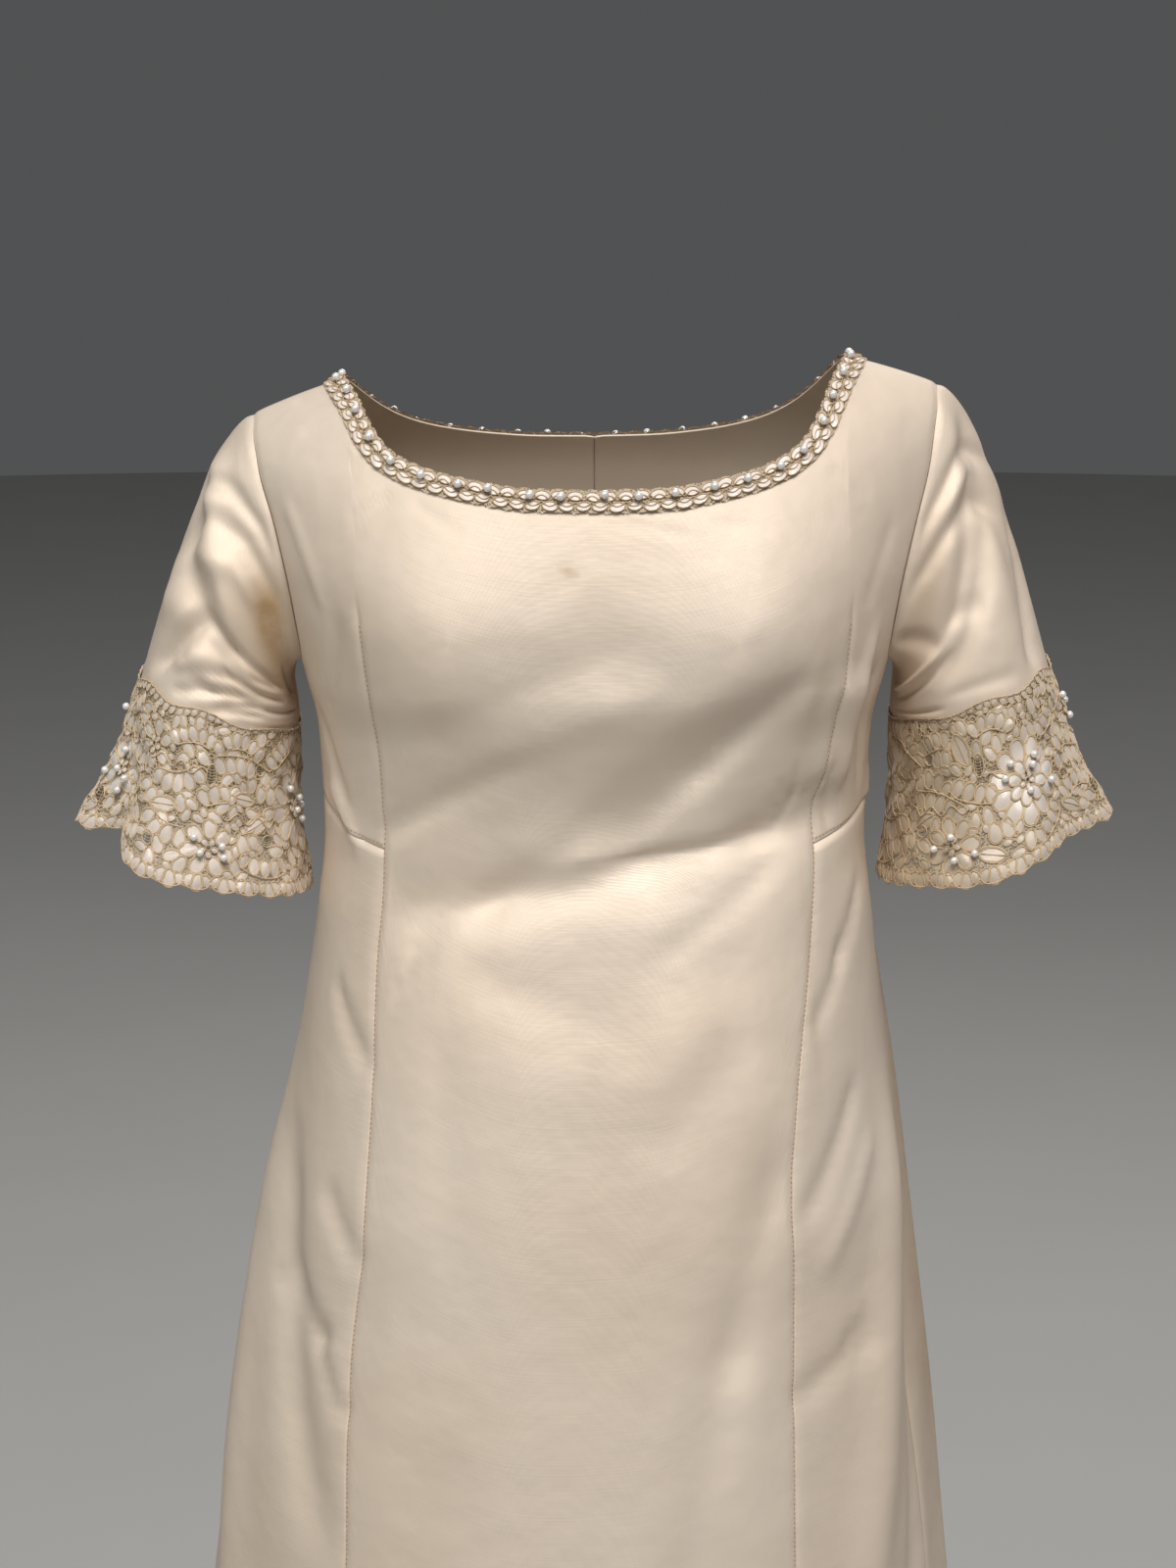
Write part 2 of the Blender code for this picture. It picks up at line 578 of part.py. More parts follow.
def make_back_skirt(name, side):
    """Half of the back skirt; its top row meets the bodice's columns."""
    def place(column, row):
        drop = row_drop(row + EMPIRE_ROW)
        edge = 180 - np.abs(edge_angle(side, row + EMPIRE_ROW))
        return side * (180 - edge * column / BACK_SKIRT_COLUMNS), drop

    bm = flat_grid(BACK_SKIRT_COLUMNS, SKIRT_ROWS)
    lay(name, bm, place, worn_form, SATIN_WALL, 0.0, BODY_STEPS, SATIN)


# ---- sleeves ----
def turn_of(side, around):
    """Degrees round a sleeve, counted the way the body's angle is, so that normals point out."""
    return -side * around


def around_armhole(side, around):
    """A point of the armhole, its bodice normal, and the way into the hole along the cloth."""
    def point(degrees):
        degrees = (degrees + 180) % 360 - 180
        angle = armhole_angle(np.abs(degrees))
        angle = np.where(degrees >= 0, angle, 180 - angle)
        return side * angle, armhole_drop(np.abs(degrees))

    place, _, _, normal = slopes_of(worn_form, *point(around), *BODY_STEPS)
    ahead = worn_form(*point(around + 0.5))
    behind = worn_form(*point(around - 0.5))
    inward = unit(np.cross(normal, unit(ahead - behind))) * side
    return place, normal, inward


def ring_point(ring, side, around):
    """A point of a sleeve ring square to the leaning arm; 0 is the outer side, 90 the front."""
    turn = np.radians(around)
    lean = np.radians(ARM_LEAN)
    out = ring.half_width * np.cos(turn)
    x = side * (ring.x + out * np.cos(lean))
    y = ring.y - ring.half_depth * np.sin(turn)
    z = ring.z + out * np.sin(lean) + SLEEVE_RAISE * side
    return np.stack([x, y, z], axis=-1)


def arm_way(side):
    lean = np.radians(ARM_LEAN)
    return np.array([side * np.sin(lean), 0.0, -np.cos(lean)])


def square_to_arm(side, around):
    """The way out from the arm's middle line, square to it."""
    turn = np.radians(around)
    lean = np.radians(ARM_LEAN)
    across = np.cos(turn)
    return np.stack([side * across * np.cos(lean), -np.sin(turn), across * np.sin(lean)], axis=-1)


def sleeve_form(side, folds):
    """The satin sleeve: it leaves the armhole along the cloth at the shoulder, and square
    to the bodice at the underarm, and ends along the arm."""
    def surface(turn, down):
        around, down = np.broadcast_arrays(turn_of(side, np.asarray(turn, float)),
                                           np.asarray(down, float))
        start, normal, inward = around_armhole(side, around)
        leave = np.radians(45 * (1 - np.cos(np.radians(around))))[..., None]
        start = start + inward * (SEAM_GAP / 2 + SATIN_WALL * 0.8 * np.sin(leave))
        end = ring_point(SLEEVE_END, side, around)
        reach = np.linalg.norm(end - start, axis=-1, keepdims=True)
        first = np.cos(leave) * inward + np.sin(leave) * normal
        first = first * np.minimum(CAP_REACH, reach)
        last = arm_way(side) * np.minimum(SLEEVE_SET, reach)
        t = down[..., None]
        points = start * (1 + 2 * t) * (1 - t) ** 2 + end * t ** 2 * (3 - 2 * t)
        points = points + first * t * (1 - t) ** 2 - last * t ** 2 * (1 - t)
        height = np.zeros_like(around)
        along = np.radians(around % 360) * SLEEVE_RADIUS
        for f in folds:
            height += drag_height(
                np.radians(f.around_a) * SLEEVE_RADIUS, f.down_a * SLEEVE_FALL,
                np.radians(f.around_b) * SLEEVE_RADIUS, f.down_b * SLEEVE_FALL,
                f.height, f.width, along, down * SLEEVE_FALL)
        height = height * ease(down / 0.15) * ease((1 - down) / 0.12)
        return points + square_to_arm(side, around) * height[..., None]

    return surface


CUFF_LENGTH = (Vector(CUFF_END[:3]) - Vector(SLEEVE_END[:3])).length


def cuff_form(side, flutes):
    """The lace flounce: 0 is where the satin ends, 1 the cuff's hem, less than 0 over the satin."""
    def surface(turn, down):
        around, down = np.broadcast_arrays(turn_of(side, np.asarray(turn, float)),
                                           np.asarray(down, float))
        below = np.clip(down, 0, None)[..., None]
        above = np.clip(down, None, 0)[..., None]
        top = ring_point(SLEEVE_END, side, around)
        points = top + (ring_point(CUFF_END, side, around) - top) * below
        points = points + arm_way(side) * above * CUFF_LENGTH
        height = -CUFF_BOW * np.sin(pi * np.clip(down, 0, 1))
        lift = np.zeros_like(around)
        for f in flutes:
            away = (around - f.around + 180) % 360 - 180
            height = height + ridge(away, f.height, f.width) * below[..., 0] ** 1.5
            lift = lift + ridge(away, f.lift, f.width) * below[..., 0] ** 1.5
        points = points + square_to_arm(side, around) * height[..., None]
        return points - arm_way(side) * lift[..., None]

    return surface


def make_sleeve(name, side, folds):
    """The sleeve's columns match the bodice's armhole rows, from the underarm round."""
    columns = 2 * ARMHOLE_ROWS

    def place(column, row):
        return (column / columns - 0.5) * 360, row / SLEEVE_ROWS

    bm = flat_grid(columns, SLEEVE_ROWS)
    lay(name, bm, place, sleeve_form(side, folds), SATIN_WALL, 0.0, SLEEVE_STEPS, SATIN)


def gap_cutter(name, side, surface, gaps):
    """One prism through the lace for each gap."""
    bm = bmesh.new()
    for gap in gaps:
        turn = np.array([turn_of(side, gap.around)])
        point, along, _, normal = slopes_of(surface, turn, np.array([gap.down]), *SLEEVE_STEPS)
        across = Vector(along[0])
        out = Vector(normal[0])
        up = out.cross(across)
        facing = Matrix((across, up, out)).transposed().to_4x4()
        size = Matrix.Diagonal((gap.width / 2, gap.height / 2, 1, 1))
        bmesh.ops.create_cone(
            bm, cap_ends=True, segments=GAP_SIDES, radius1=1, radius2=1, depth=CUTTER_DEPTH,
            matrix=Matrix.Translation(Vector(point[0])) @ facing @ size)
    mesh = bpy.data.meshes.new(name)
    bm.to_mesh(mesh)
    bm.free()
    cutter = bpy.data.objects.new(name, mesh)
    cutter.display_type = "WIRE"
    cutter.hide_render = True
    CUTTERS.objects.link(cutter)
    return cutter


def make_cuff_half(name, side, start, flutes, gaps):
    """Half of a cuff, with a scalloped hem and its gaps cut through."""
    columns = SCALLOPS * SCALLOP_COLUMNS

    def place(column, row):
        phase = (column % SCALLOP_COLUMNS) / SCALLOP_COLUMNS
        hem = 1 + SCALLOP_DEPTH / CUFF_LENGTH * np.sqrt(np.clip(1 - (2 * phase - 1) ** 2, 0, 1))
        around = start + column / columns * 180
        wave = TOP_WAVE * np.sin(np.radians(around * TOP_WAVES))
        top = (wave - CUFF_OVERLAP) / CUFF_LENGTH
        return turn_of(side, around), top + (hem - top) * row / CUFF_ROWS

    surface = cuff_form(side, flutes)
    lift = SATIN_WALL / 2 + LAY_GAP + LACE_WALL / 2
    bm = flat_grid(columns, CUFF_ROWS)
    piece = lay(name, bm, place, surface, LACE_WALL, lift, SLEEVE_STEPS, LACE)
    cut = piece.modifiers.new("gaps", "BOOLEAN")
    cut.operation = "DIFFERENCE"
    cut.object = gap_cutter(name + "_gaps", side, surface, gaps)


# ---- neckline and back opening ----
def make_braid(name, neck, facing, petals):
    """Lace braid laid on the panels along the neckline, scalloped by its petals.

    facing is 0 for the front and 180 for the back."""
    steps = np.linspace(-CENTRE_HALF, CENTRE_HALF, 561)
    edge = worn_form(facing + np.sign(steps) * neck["angle"](np.abs(steps)),
                     neck["drop"](np.abs(steps)))
    lengths = np.concatenate([[0], np.cumsum(np.linalg.norm(np.diff(edge, axis=0), axis=1))])
    columns = petals * PETAL_COLUMNS

    def place(column, row):
        step = np.interp(column / columns * lengths[-1], lengths, steps)
        size = np.abs(step)
        phase = (column % PETAL_COLUMNS) / PETAL_COLUMNS
        petal = PETAL_SHARE * np.sqrt(np.clip(1 - (2 * phase - 1) ** 2, 0, 1))
        share = row / BRAID_ROWS * (1 + 2 * petal) - petal
        angle = neck["angle"](size) + (neck["braid_angle"](size) - neck["angle"](size)) * share
        drop = neck["drop"](size) + (neck["braid_drop"](size) - neck["drop"](size)) * share
        return facing + np.sign(step) * angle, np.clip(drop, RIDGE_DROP, None)

    lift = SATIN_WALL / 2 + LAY_GAP + BRAID_WALL / 2
    lay(name, flat_grid(columns, BRAID_ROWS), place, worn_form, BRAID_WALL, lift, BODY_STEPS, LACE)


def make_placket():
    """The lap over the zip, from the neck braid down past the waist."""
    def place(column, row):
        panel_row = np.where(row < 1, PLACKET_TOP_ROW, np.floor(PLACKET_TOP_ROW) + row)
        _, drop = back_place(1, np.zeros_like(row), panel_row)
        out = (column / PLACKET_COLUMNS - 0.5) * PLACKET_WIDTH + PLACKET_SHIFT
        return 180 + np.degrees(out / form["half_width"](drop)), drop

    lift = SATIN_WALL / 2 + PLACKET_GAP + SATIN_WALL / 2
    lay("back_placket", flat_grid(PLACKET_COLUMNS, PLACKET_ROWS), place, worn_form, SATIN_WALL,
        lift, BODY_STEPS, SATIN)


# ---- build ----
for old in list(bpy.data.objects):
    bpy.data.objects.remove(old, do_unlink=True)

DRESS = bpy.data.collections.new("wedding_dress")
CUTTERS = bpy.data.collections.new("cutters")
bpy.context.scene.collection.children.link(DRESS)
bpy.context.scene.collection.children.link(CUTTERS)

make_front()
for word, hand in (("right", -1), ("left", 1)):
    make_side_front("side_front_" + word, hand)
    make_back_bodice("back_bodice_" + word, hand)
    make_back_skirt("back_skirt_" + word, hand)
make_sleeve("sleeve_right", -1, RIGHT_SLEEVE_FOLDS)
make_sleeve("sleeve_left", 1, LEFT_SLEEVE_FOLDS)
for word, hand, cuff_flutes in (("right", -1, RIGHT_CUFF_FLUTES), ("left", 1, LEFT_CUFF_FLUTES)):
    make_cuff_half(f"cuff_lace_{word}_front", hand, 0.0, cuff_flutes, FRONT_GAPS)
    make_cuff_half(f"cuff_lace_{word}_back", hand, 180.0, cuff_flutes, BACK_GAPS)
make_braid("neck_braid_front", front_neck, 0.0, BRAID_PETALS_FRONT)
make_braid("neck_braid_back", back_neck, 180.0, BRAID_PETALS_BACK)
make_placket()
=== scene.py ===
# %% [markdown]
# # An empire-line wedding dress, sewn in Blender
# A ready frame holds the plain CAD solids of the dress. This lesson turns them into cloth:
# duchess satin that catches the light, corded lace cuffs, a braid of lace petals with pearls,
# and rows of stitches. Every piece stands where its solid stands, in metres, with +Z up and
# the front towards -Y. Left and right are the wearer's, so the left side is +X.

# %% Load the frame
from collections import namedtuple
from math import pi

import bmesh
import bpy
import numpy as np
from mathutils import Matrix, Vector


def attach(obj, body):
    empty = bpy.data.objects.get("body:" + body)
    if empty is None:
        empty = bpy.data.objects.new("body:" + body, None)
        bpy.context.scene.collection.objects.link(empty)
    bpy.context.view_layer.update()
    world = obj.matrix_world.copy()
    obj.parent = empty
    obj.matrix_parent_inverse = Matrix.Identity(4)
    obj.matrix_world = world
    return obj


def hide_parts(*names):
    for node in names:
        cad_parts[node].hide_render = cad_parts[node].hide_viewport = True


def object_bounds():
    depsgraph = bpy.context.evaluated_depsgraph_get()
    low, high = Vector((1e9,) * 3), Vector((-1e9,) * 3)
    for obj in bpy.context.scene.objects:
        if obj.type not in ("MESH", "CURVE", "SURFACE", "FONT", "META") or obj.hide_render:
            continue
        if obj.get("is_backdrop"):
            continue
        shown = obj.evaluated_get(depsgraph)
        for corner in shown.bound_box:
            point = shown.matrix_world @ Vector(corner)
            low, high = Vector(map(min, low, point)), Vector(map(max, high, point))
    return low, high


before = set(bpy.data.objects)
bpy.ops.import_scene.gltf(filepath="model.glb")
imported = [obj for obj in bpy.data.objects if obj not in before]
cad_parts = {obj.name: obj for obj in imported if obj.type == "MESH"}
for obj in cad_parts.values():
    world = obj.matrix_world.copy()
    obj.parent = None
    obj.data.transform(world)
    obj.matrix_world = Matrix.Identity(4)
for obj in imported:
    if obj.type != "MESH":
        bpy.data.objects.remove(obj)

cad_box = [list(corner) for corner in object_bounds()]
print("CAD nodes:", len(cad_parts), "box:", np.round(cad_box, 3).tolist())

# %% [markdown]
# ## The sizes of the dress
# A dressmaker works from measurements, and so does this script. The tables below are the
# cut of the dress: the worn form at several heights, the panel seams, the armholes, the
# necklines and the sleeve ends. A place on the body is an angle round it (0 at the centre
# front, 90 at the left side, 180 at the centre back) and a drop below the shoulder line.

# %% Main sizes
LENGTH = 1.42             # shoulder line to hem
EMPIRE_DROP = 0.2430      # empire seam at the panel seams
EMPIRE_RISE = 0.021       # how much higher that seam lies at the sides and back
RISE_ANGLES = (42, 48)    # it starts to rise at the first, and rises over the second
RISE_DROPS = (0.13, 0.10, 0.28, 0.20)  # the cloth above and below follows it, and fades
SHOULDER_TOP = 0.018
SHOULDER_FALL = 2.79
SHOULDER_POWER = 2.67
SHOULDER_FADE = 0.16
SHOULDER_TILT = 0.044     # the left shoulder stands higher
TILT_FADE = 0.075
BUST_POINT = (0.098, 0.122)
BUST_HEIGHT = 0.010
BUST_REACH = (0.045, 0.038)
ARMHOLE_ROWS = 10
TIP_ROW = 6               # bust dart's tip
UNDERARM_ROWS = 4
SKIRT_ROWS = 13
CENTRE_HALF = 7
SIDE_COLUMNS = 8
BACK_SIDE_COLUMNS = 5
BACK_SKIRT_COLUMNS = 18
SLEEVE_ROWS = 8
EMPIRE_ROW = ARMHOLE_ROWS + UNDERARM_ROWS
SKIRT_ROW_GROWTH = 1.35
NECK_POINT = 41.7
BACK_SEAM = 50.0
BODY_STEPS = (0.1, 0.0002)
SLEEVE_STEPS = (0.5, 0.002)
print("shoulder to hem:", LENGTH, "m, empire seam:", EMPIRE_DROP, "m down")

# %% The worn form, seams and necklines
# The worn form: half width, and depth in front of and behind the side line.
# Roundness 2 is an ellipse, more is squarer.
Form = namedtuple("Form", "drop centre half_width front back side_y front_round back_round")
FORM = [Form(*row) for row in (
    (0, 0, 0.2, 0, 0, 0, 2.2, 2.2), (0.003, 0, 0.199, 0.016, 0.016, 0, 2.2, 2.2),
    (0.01, 0, 0.198, 0.033, 0.033, 0, 2.2, 2.2), (0.022, 0, 0.195, 0.054, 0.053, 0.001, 2.2, 2.2),
    (0.04, 0, 0.191, 0.076, 0.074, 0.003, 2.2, 2.2),
    (0.068, 0, 0.182, 0.096, 0.094, 0.005, 2.3, 2.2),
    (0.1, 0, 0.172, 0.112, 0.104, 0.008, 2.4, 2.2),
    (0.125, 0, 0.165, 0.1195, 0.106, 0.01, 2.4, 2.2),
    (0.155, 0, 0.1565, 0.1215, 0.105, 0.01, 2.4, 2.2),
    (0.185, 0, 0.15, 0.116, 0.102, 0.01, 2.3, 2.2),
    (0.243, 0, 0.1475, 0.1045, 0.098, 0.01, 2.3, 2.2),
    (0.29, 0, 0.1525, 0.1105, 0.109, 0.01, 2.3, 2.1),
    (0.3325, -0.001, 0.158, 0.12, 0.122, 0.01, 2.3, 2.1),
    (0.3825, -0.0022, 0.1652, 0.13, 0.137, 0.01, 2.3, 2.1),
    (0.433, -0.0045, 0.1735, 0.139, 0.15, 0.01, 2.3, 2.1),
    (0.485, -0.007, 0.182, 0.146, 0.162, 0.011, 2.2, 2.1),
    (0.59, -0.0105, 0.1975, 0.16, 0.182, 0.013, 2.2, 2.1),
    (0.7, -0.012, 0.209, 0.173, 0.203, 0.016, 2.1, 2),
    (0.9, -0.016, 0.236, 0.199, 0.24, 0.022, 2, 2),
    (1.15, -0.022, 0.278, 0.237, 0.29, 0.032, 2, 2),
    (1.44, -0.03, 0.333, 0.286, 0.348, 0.045, 2, 2),
)]

# The panel seams, by how far they lie from the body's middle plane.
PanelSeam = namedtuple("PanelSeam", "drop right_x left_x")
PANEL_SEAM = [PanelSeam(*row) for row in (
    (0, -0.133, 0.133), (0.112, -0.121, 0.132), (0.138, -0.1185, 0.1305), (0.168, -0.115, 0.1245),
    (0.198, -0.112, 0.1202), (0.243, -0.1112, 0.1175), (0.306, -0.1155, 0.113),
    (0.365, -0.1175, 0.107), (0.413, -0.1204, 0.1045), (0.462, -0.124, 0.1053),
    (0.511, -0.1295, 0.1055), (0.575, -0.1325, 0.1064), (0.63, -0.1335, 0.1073),
    (0.75, -0.139, 0.111), (1, -0.152, 0.123), (1.44, -0.179, 0.147),
)]

# The side seams swing back on the right and forward on the left, as the skirt turns a little.
SideSeam = namedtuple("SideSeam", "drop right_angle left_angle")
SIDE_SEAM = [SideSeam(*row) for row in (
    (0, -90, 90), (0.26, -90, 89), (0.45, -92, 82), (0.65, -93, 79), (1.44, -92, 82),
)]

# The armhole, in degrees round it from the shoulder point (0) to the underarm (180).
Armhole = namedtuple("Armhole", "around drop angle")
ARMHOLE = [Armhole(*row) for row in (
    (0, 0, 65.2), (36, 0.018, 65.8), (72, 0.06, 67), (108, 0.112, 71), (144, 0.142, 77),
    (162, 0.1515, 83), (180, 0.155, 90),
)]

# The scoop neckline from the centre to the shoulder, and the lower edge of its braid.
Neck = namedtuple("Neck", "step angle drop braid_angle braid_drop")
FRONT_NECK = [Neck(*row) for row in (
    (0, 0, 0.0638, 0, 0.0728), (1, 10.5, 0.0628, 10.8, 0.0722), (2, 20, 0.0582, 20.7, 0.0688),
    (3, 28.1, 0.051, 29.6, 0.0632), (4, 33.8, 0.04, 37.6, 0.052), (5, 36.8, 0.026, 42.2, 0.034),
    (6, 38.8, 0.012, 43.9, 0.0145), (7, 41.7, 0, 46, 0),
)]
BACK_NECK = [Neck(*row) for row in (
    (0, 0, 0.052, 0, 0.064), (1, 9.5, 0.0512, 9.8, 0.0632), (2, 18.5, 0.048, 19.2, 0.0595),
    (3, 27, 0.0415, 28.4, 0.0525), (4, 33, 0.0325, 35.8, 0.0415), (5, 37, 0.0215, 41, 0.027),
    (6, 39.6, 0.01, 44.2, 0.0115), (7, 41.7, 0, 46, 0),
)]
print(len(FORM), "heights,", len(PANEL_SEAM), "seam places")

# %% Flutes and large folds
# Flutes of the skirt: they start at a drop and deepen down to the hem.
Flute = namedtuple("Flute", "start_angle start_drop hem_angle height width")
FLUTES = [Flute(*row) for row in (
    (-168, 0.26, -167, 0.026, 10), (-141, 0.27, -143, 0.022, 10), (-115, 0.3, -118, 0.024, 10),
    (-97, 0.52, -96, 0.014, 7), (-66, 0.62, -62, 0.012, 9), (-22, 0.75, -27, 0.005, 12),
    (14, 0.7, 18, 0.005, 12), (60, 0.7, 58, 0.012, 9), (94, 0.33, 99, 0.02, 8),
    (120, 0.28, 121, 0.024, 10), (145, 0.27, 146, 0.022, 10), (168, 0.26, 170, 0.026, 10),
)]

# Drag folds that fade out at both ends; a negative height is a trough.
Drag = namedtuple("Drag", "angle_a drop_a angle_b drop_b height width")
DRAGS = [Drag(*row) for row in (
    (74, 0.4, 47, 0.7, 0.0075, 0.016), (84, 0.47, 66, 0.74, -0.006, 0.014),
    (-70, 0.42, -44, 0.61, -0.006, 0.014), (-84, 0.4, -66, 0.72, 0.006, 0.018),
    (97, 0.34, 98, 0.8, 0.0055, 0.016), (8, 0.13, -38, 0.18, -0.0035, 0.02),
    (32, 0.16, 0, 0.225, -0.003, 0.016), (-14, 0.245, 30, 0.232, 0.0035, 0.014),
    (58, 0.15, 56, 0.215, 0.0045, 0.014),
)]
DRAG_RADIUS = 0.15        # turns a fold's angles into a distance round the body
print(len(FLUTES), "flutes,", len(DRAGS), "large folds")

# %% Sleeves and cuffs
# Sleeves: the ring where the satin ends, and the ring of the cuff's hem.
Ring = namedtuple("Ring", "x y z half_width half_depth")
SLEEVE_END = Ring(0.2060, 0.016, -0.1755, 0.0440, 0.0590)
CUFF_END = Ring(0.2180, 0.014, -0.2560, 0.0610, 0.0670)
SLEEVE_RAISE = 0.003      # the left sleeve sits higher than the right one
ARM_LEAN = 17.0           # degrees that the sleeve leans out from upright
CUFF_OVERLAP = 0.007      # the lace lies this far up over the satin
CUFF_BOW = 0.0035         # how far the flounce hollows between its top and its hem
SCALLOPS = 14             # on each half of a cuff
SCALLOP_DEPTH = 0.0035
TOP_WAVE = 0.0025         # the lace's upper edge follows its flowers
TOP_WAVES = 7
CUFF_FLUTE_GROWTH = 1.5   # how its flutes deepen towards its hem
CAP_REACH = 0.090         # how far the sleeve's cap runs on along the cloth
SLEEVE_SET = 0.120        # and how straight it comes to its end

# Folds of a sleeve: degrees round it from its top, and how far down it they run.
SleeveFold = namedtuple("SleeveFold", "around_a down_a around_b down_b height width")
RIGHT_SLEEVE_FOLDS = [SleeveFold(*row) for row in (
    (10, 0.22, 95, 0.5, 0.0045, 0.012), (8, 0.4, 120, 0.78, -0.004, 0.012),
    (20, 0.66, 90, 0.62, 0.003, 0.01), (200, 0.5, 320, 0.3, -0.0035, 0.014),
)]
LEFT_SLEEVE_FOLDS = [SleeveFold(*row) for row in (
    (15, 0.2, 100, 0.48, -0.0045, 0.012), (30, 0.36, 110, 0.7, -0.004, 0.011),
    (26, 0.3, 34, 0.9, -0.003, 0.011), (205, 0.45, 320, 0.28, -0.0035, 0.014),
)]
SLEEVE_RADIUS = 0.050     # turns a fold's degrees into a distance round the sleeve
SLEEVE_FALL = 0.150       # and its share of the length into a distance down it
FOLD_FADES = (0.15, 0.12)  # the folds fade out at the armhole and at the sleeve's end

# Flutes of a cuff: degrees round it from its outer side, height at the hem, width.
CuffFlute = namedtuple("CuffFlute", "around height lift width")
RIGHT_CUFF_FLUTES = [CuffFlute(*row) for row in (
    (6, 0.006, 0, 16), (38, -0.012, 0.01, 15), (75, 0.004, -0.003, 22), (235, -0.006, 0.003, 22),
    (300, 0.007, 0, 24),
)]
LEFT_CUFF_FLUTES = [CuffFlute(*row) for row in (
    (10, 0.005, 0, 14), (48, -0.006, 0.003, 18), (100, 0.004, -0.003, 24),
    (240, -0.006, 0.003, 22), (305, 0.007, 0, 24),
)]

# Gaps over 4 mm in the lace: degrees round the cuff, share of the way down, size.
Gap = namedtuple("Gap", "around down width height")
FRONT_GAPS = [Gap(*row) for row in (
    (15, 0.8, 0.009, 0.01), (38, 0.62, 0.006, 0.006), (69, 0.81, 0.006, 0.007),
    (98, 0.32, 0.006, 0.012), (130.5, 0.24, 0.007, 0.006), (135, 0.7, 0.007, 0.006),
)]
BACK_GAPS = [Gap(*row) for row in (
    (202.5, 0.26, 0.006, 0.007), (237.5, 0.71, 0.007, 0.006), (261.5, 0.37, 0.006, 0.012),
    (296.5, 0.64, 0.006, 0.006), (335, 0.79, 0.008, 0.009),
)]
SATIN_WALL = 0.0016       # of the plain solids
SEAM_GAP = 0.0003
print("sleeve end", SLEEVE_END.z, "m, cuff hem", CUFF_END.z, "m")

# %% [markdown]
# ## The surface of the worn form
# The tables are read as smooth curves, and two functions turn an angle and a drop into a
# point of the dress: one for the body, one for each sleeve. They are the same rules that
# the plain solids were made by, so the fine cloth lies exactly where its solid is.

# %% Reading the tables
def smooth_way(t, start, end, leave, arrive):
    """From start to end, t from 0 to 1, with the slopes that it leaves and arrives with."""
    return (start * (1 + 2 * t) * (1 - t) ** 2 + leave * t * (1 - t) ** 2
            + end * t ** 2 * (3 - 2 * t) - arrive * t ** 2 * (1 - t))


def curve_through(table, column, key="drop", root=True):
    """A smooth reading of one column of a table, without overshoot between its rows.

    A root reading steps by the square root of the key, so that the form rounds over
    the shoulders with an upright normal."""
    keys = np.array([getattr(row, key) for row in table], dtype=float)
    if root:
        keys = np.sqrt(keys)
    values = np.array([getattr(row, column) for row in table], dtype=float)
    steps = np.diff(keys)
    climbs = np.diff(values) / steps
    slopes = np.concatenate([climbs[:1], np.zeros(len(keys) - 2), climbs[-1:]])
    for k in range(1, len(keys) - 1):
        before, after = climbs[k - 1], climbs[k]
        if before * after > 0:
            slopes[k] = 2 * before * after / (before + after)

    def read(place):
        place = np.asarray(place, dtype=float)
        if root:
            place = np.sqrt(np.clip(place, 0, None))
        place = np.clip(place, keys[0], keys[-1])
        k = np.clip(np.searchsorted(keys, place, side="right") - 1, 0, len(steps) - 1)
        t = (place - keys[k]) / steps[k]
        return smooth_way(t, values[k], values[k + 1], slopes[k] * steps[k],
                          slopes[k + 1] * steps[k])

    return read


form = {name: curve_through(FORM, name) for name in Form._fields[1:]}
seam_x = {-1: curve_through(PANEL_SEAM, "right_x"), 1: curve_through(PANEL_SEAM, "left_x")}
side_angle = {side: curve_through(SIDE_SEAM, name)
              for side, name in zip((-1, 1), SideSeam._fields[1:])}
armhole_drop, armhole_angle = (curve_through(ARMHOLE, name, "around", root=False)
                               for name in Armhole._fields[1:])
front_neck, back_neck = ({name: curve_through(table, name, "step", root=False)
                          for name in Neck._fields[1:]} for table in (FRONT_NECK, BACK_NECK))


def ease(share):
    """0 to 1 with level ends."""
    share = np.clip(share, 0, 1)
    return share * share * (3 - 2 * share)


def both(first, second):
    """Two values as arrays of one shape."""
    return np.broadcast_arrays(np.asarray(first, float), np.asarray(second, float))


def unit(vectors):
    return vectors / np.linalg.norm(vectors, axis=-1, keepdims=True)


def ridge(across, height, width):
    """The height of a soft ridge, at a distance across it."""
    return height * np.exp(-(across / width) ** 2)


def drag_height(along_a, down_a, along_b, down_b, height, width, along, down):
    """A fold from one point to another, in metres, that fades out at both ends."""
    run = np.hypot(along_b - along_a, down_b - down_a)
    ahead = ((along - along_a) * (along_b - along_a) + (down - down_a) * (down_b - down_a)) / run
    across = ((along - along_a) * (down_b - down_a) - (down - down_a) * (along_b - along_a)) / run
    share = ahead / run
    fade = ease(share / 0.3 + 0.5) * ease((1 - share) / 0.3 + 0.5)
    return ridge(across, height, width) * fade


def folds_at(table, radius, scale, around, down):
    """The height of a table's folds, with its degrees and its shares down made metres."""
    total = np.zeros_like(around)
    for f in table:
        total += drag_height(
            np.radians(f[0]) * radius, f[1] * scale, np.radians(f[2]) * radius, f[3] * scale,
            f[4], f[5], np.radians(around) * radius, down * scale)
    return total


FLUTE_GROWTH = 0.8        # how a flute deepens towards the hem


def fold_height(angle, drop):
    """How far the skirt's flutes and the drag folds stand out from the form."""
    total = np.zeros_like(angle)
    for f in FLUTES:
        share = (drop - f.start_drop) / (LENGTH - f.start_drop)
        middle = f.start_angle + (f.hem_angle - f.start_angle) * share
        away = (angle - middle + 180) % 360 - 180
        total += ridge(away, f.height, f.width) * np.clip(share, 0, None) ** FLUTE_GROWTH
    return total + folds_at(DRAGS, DRAG_RADIUS, 1.0, angle, drop)


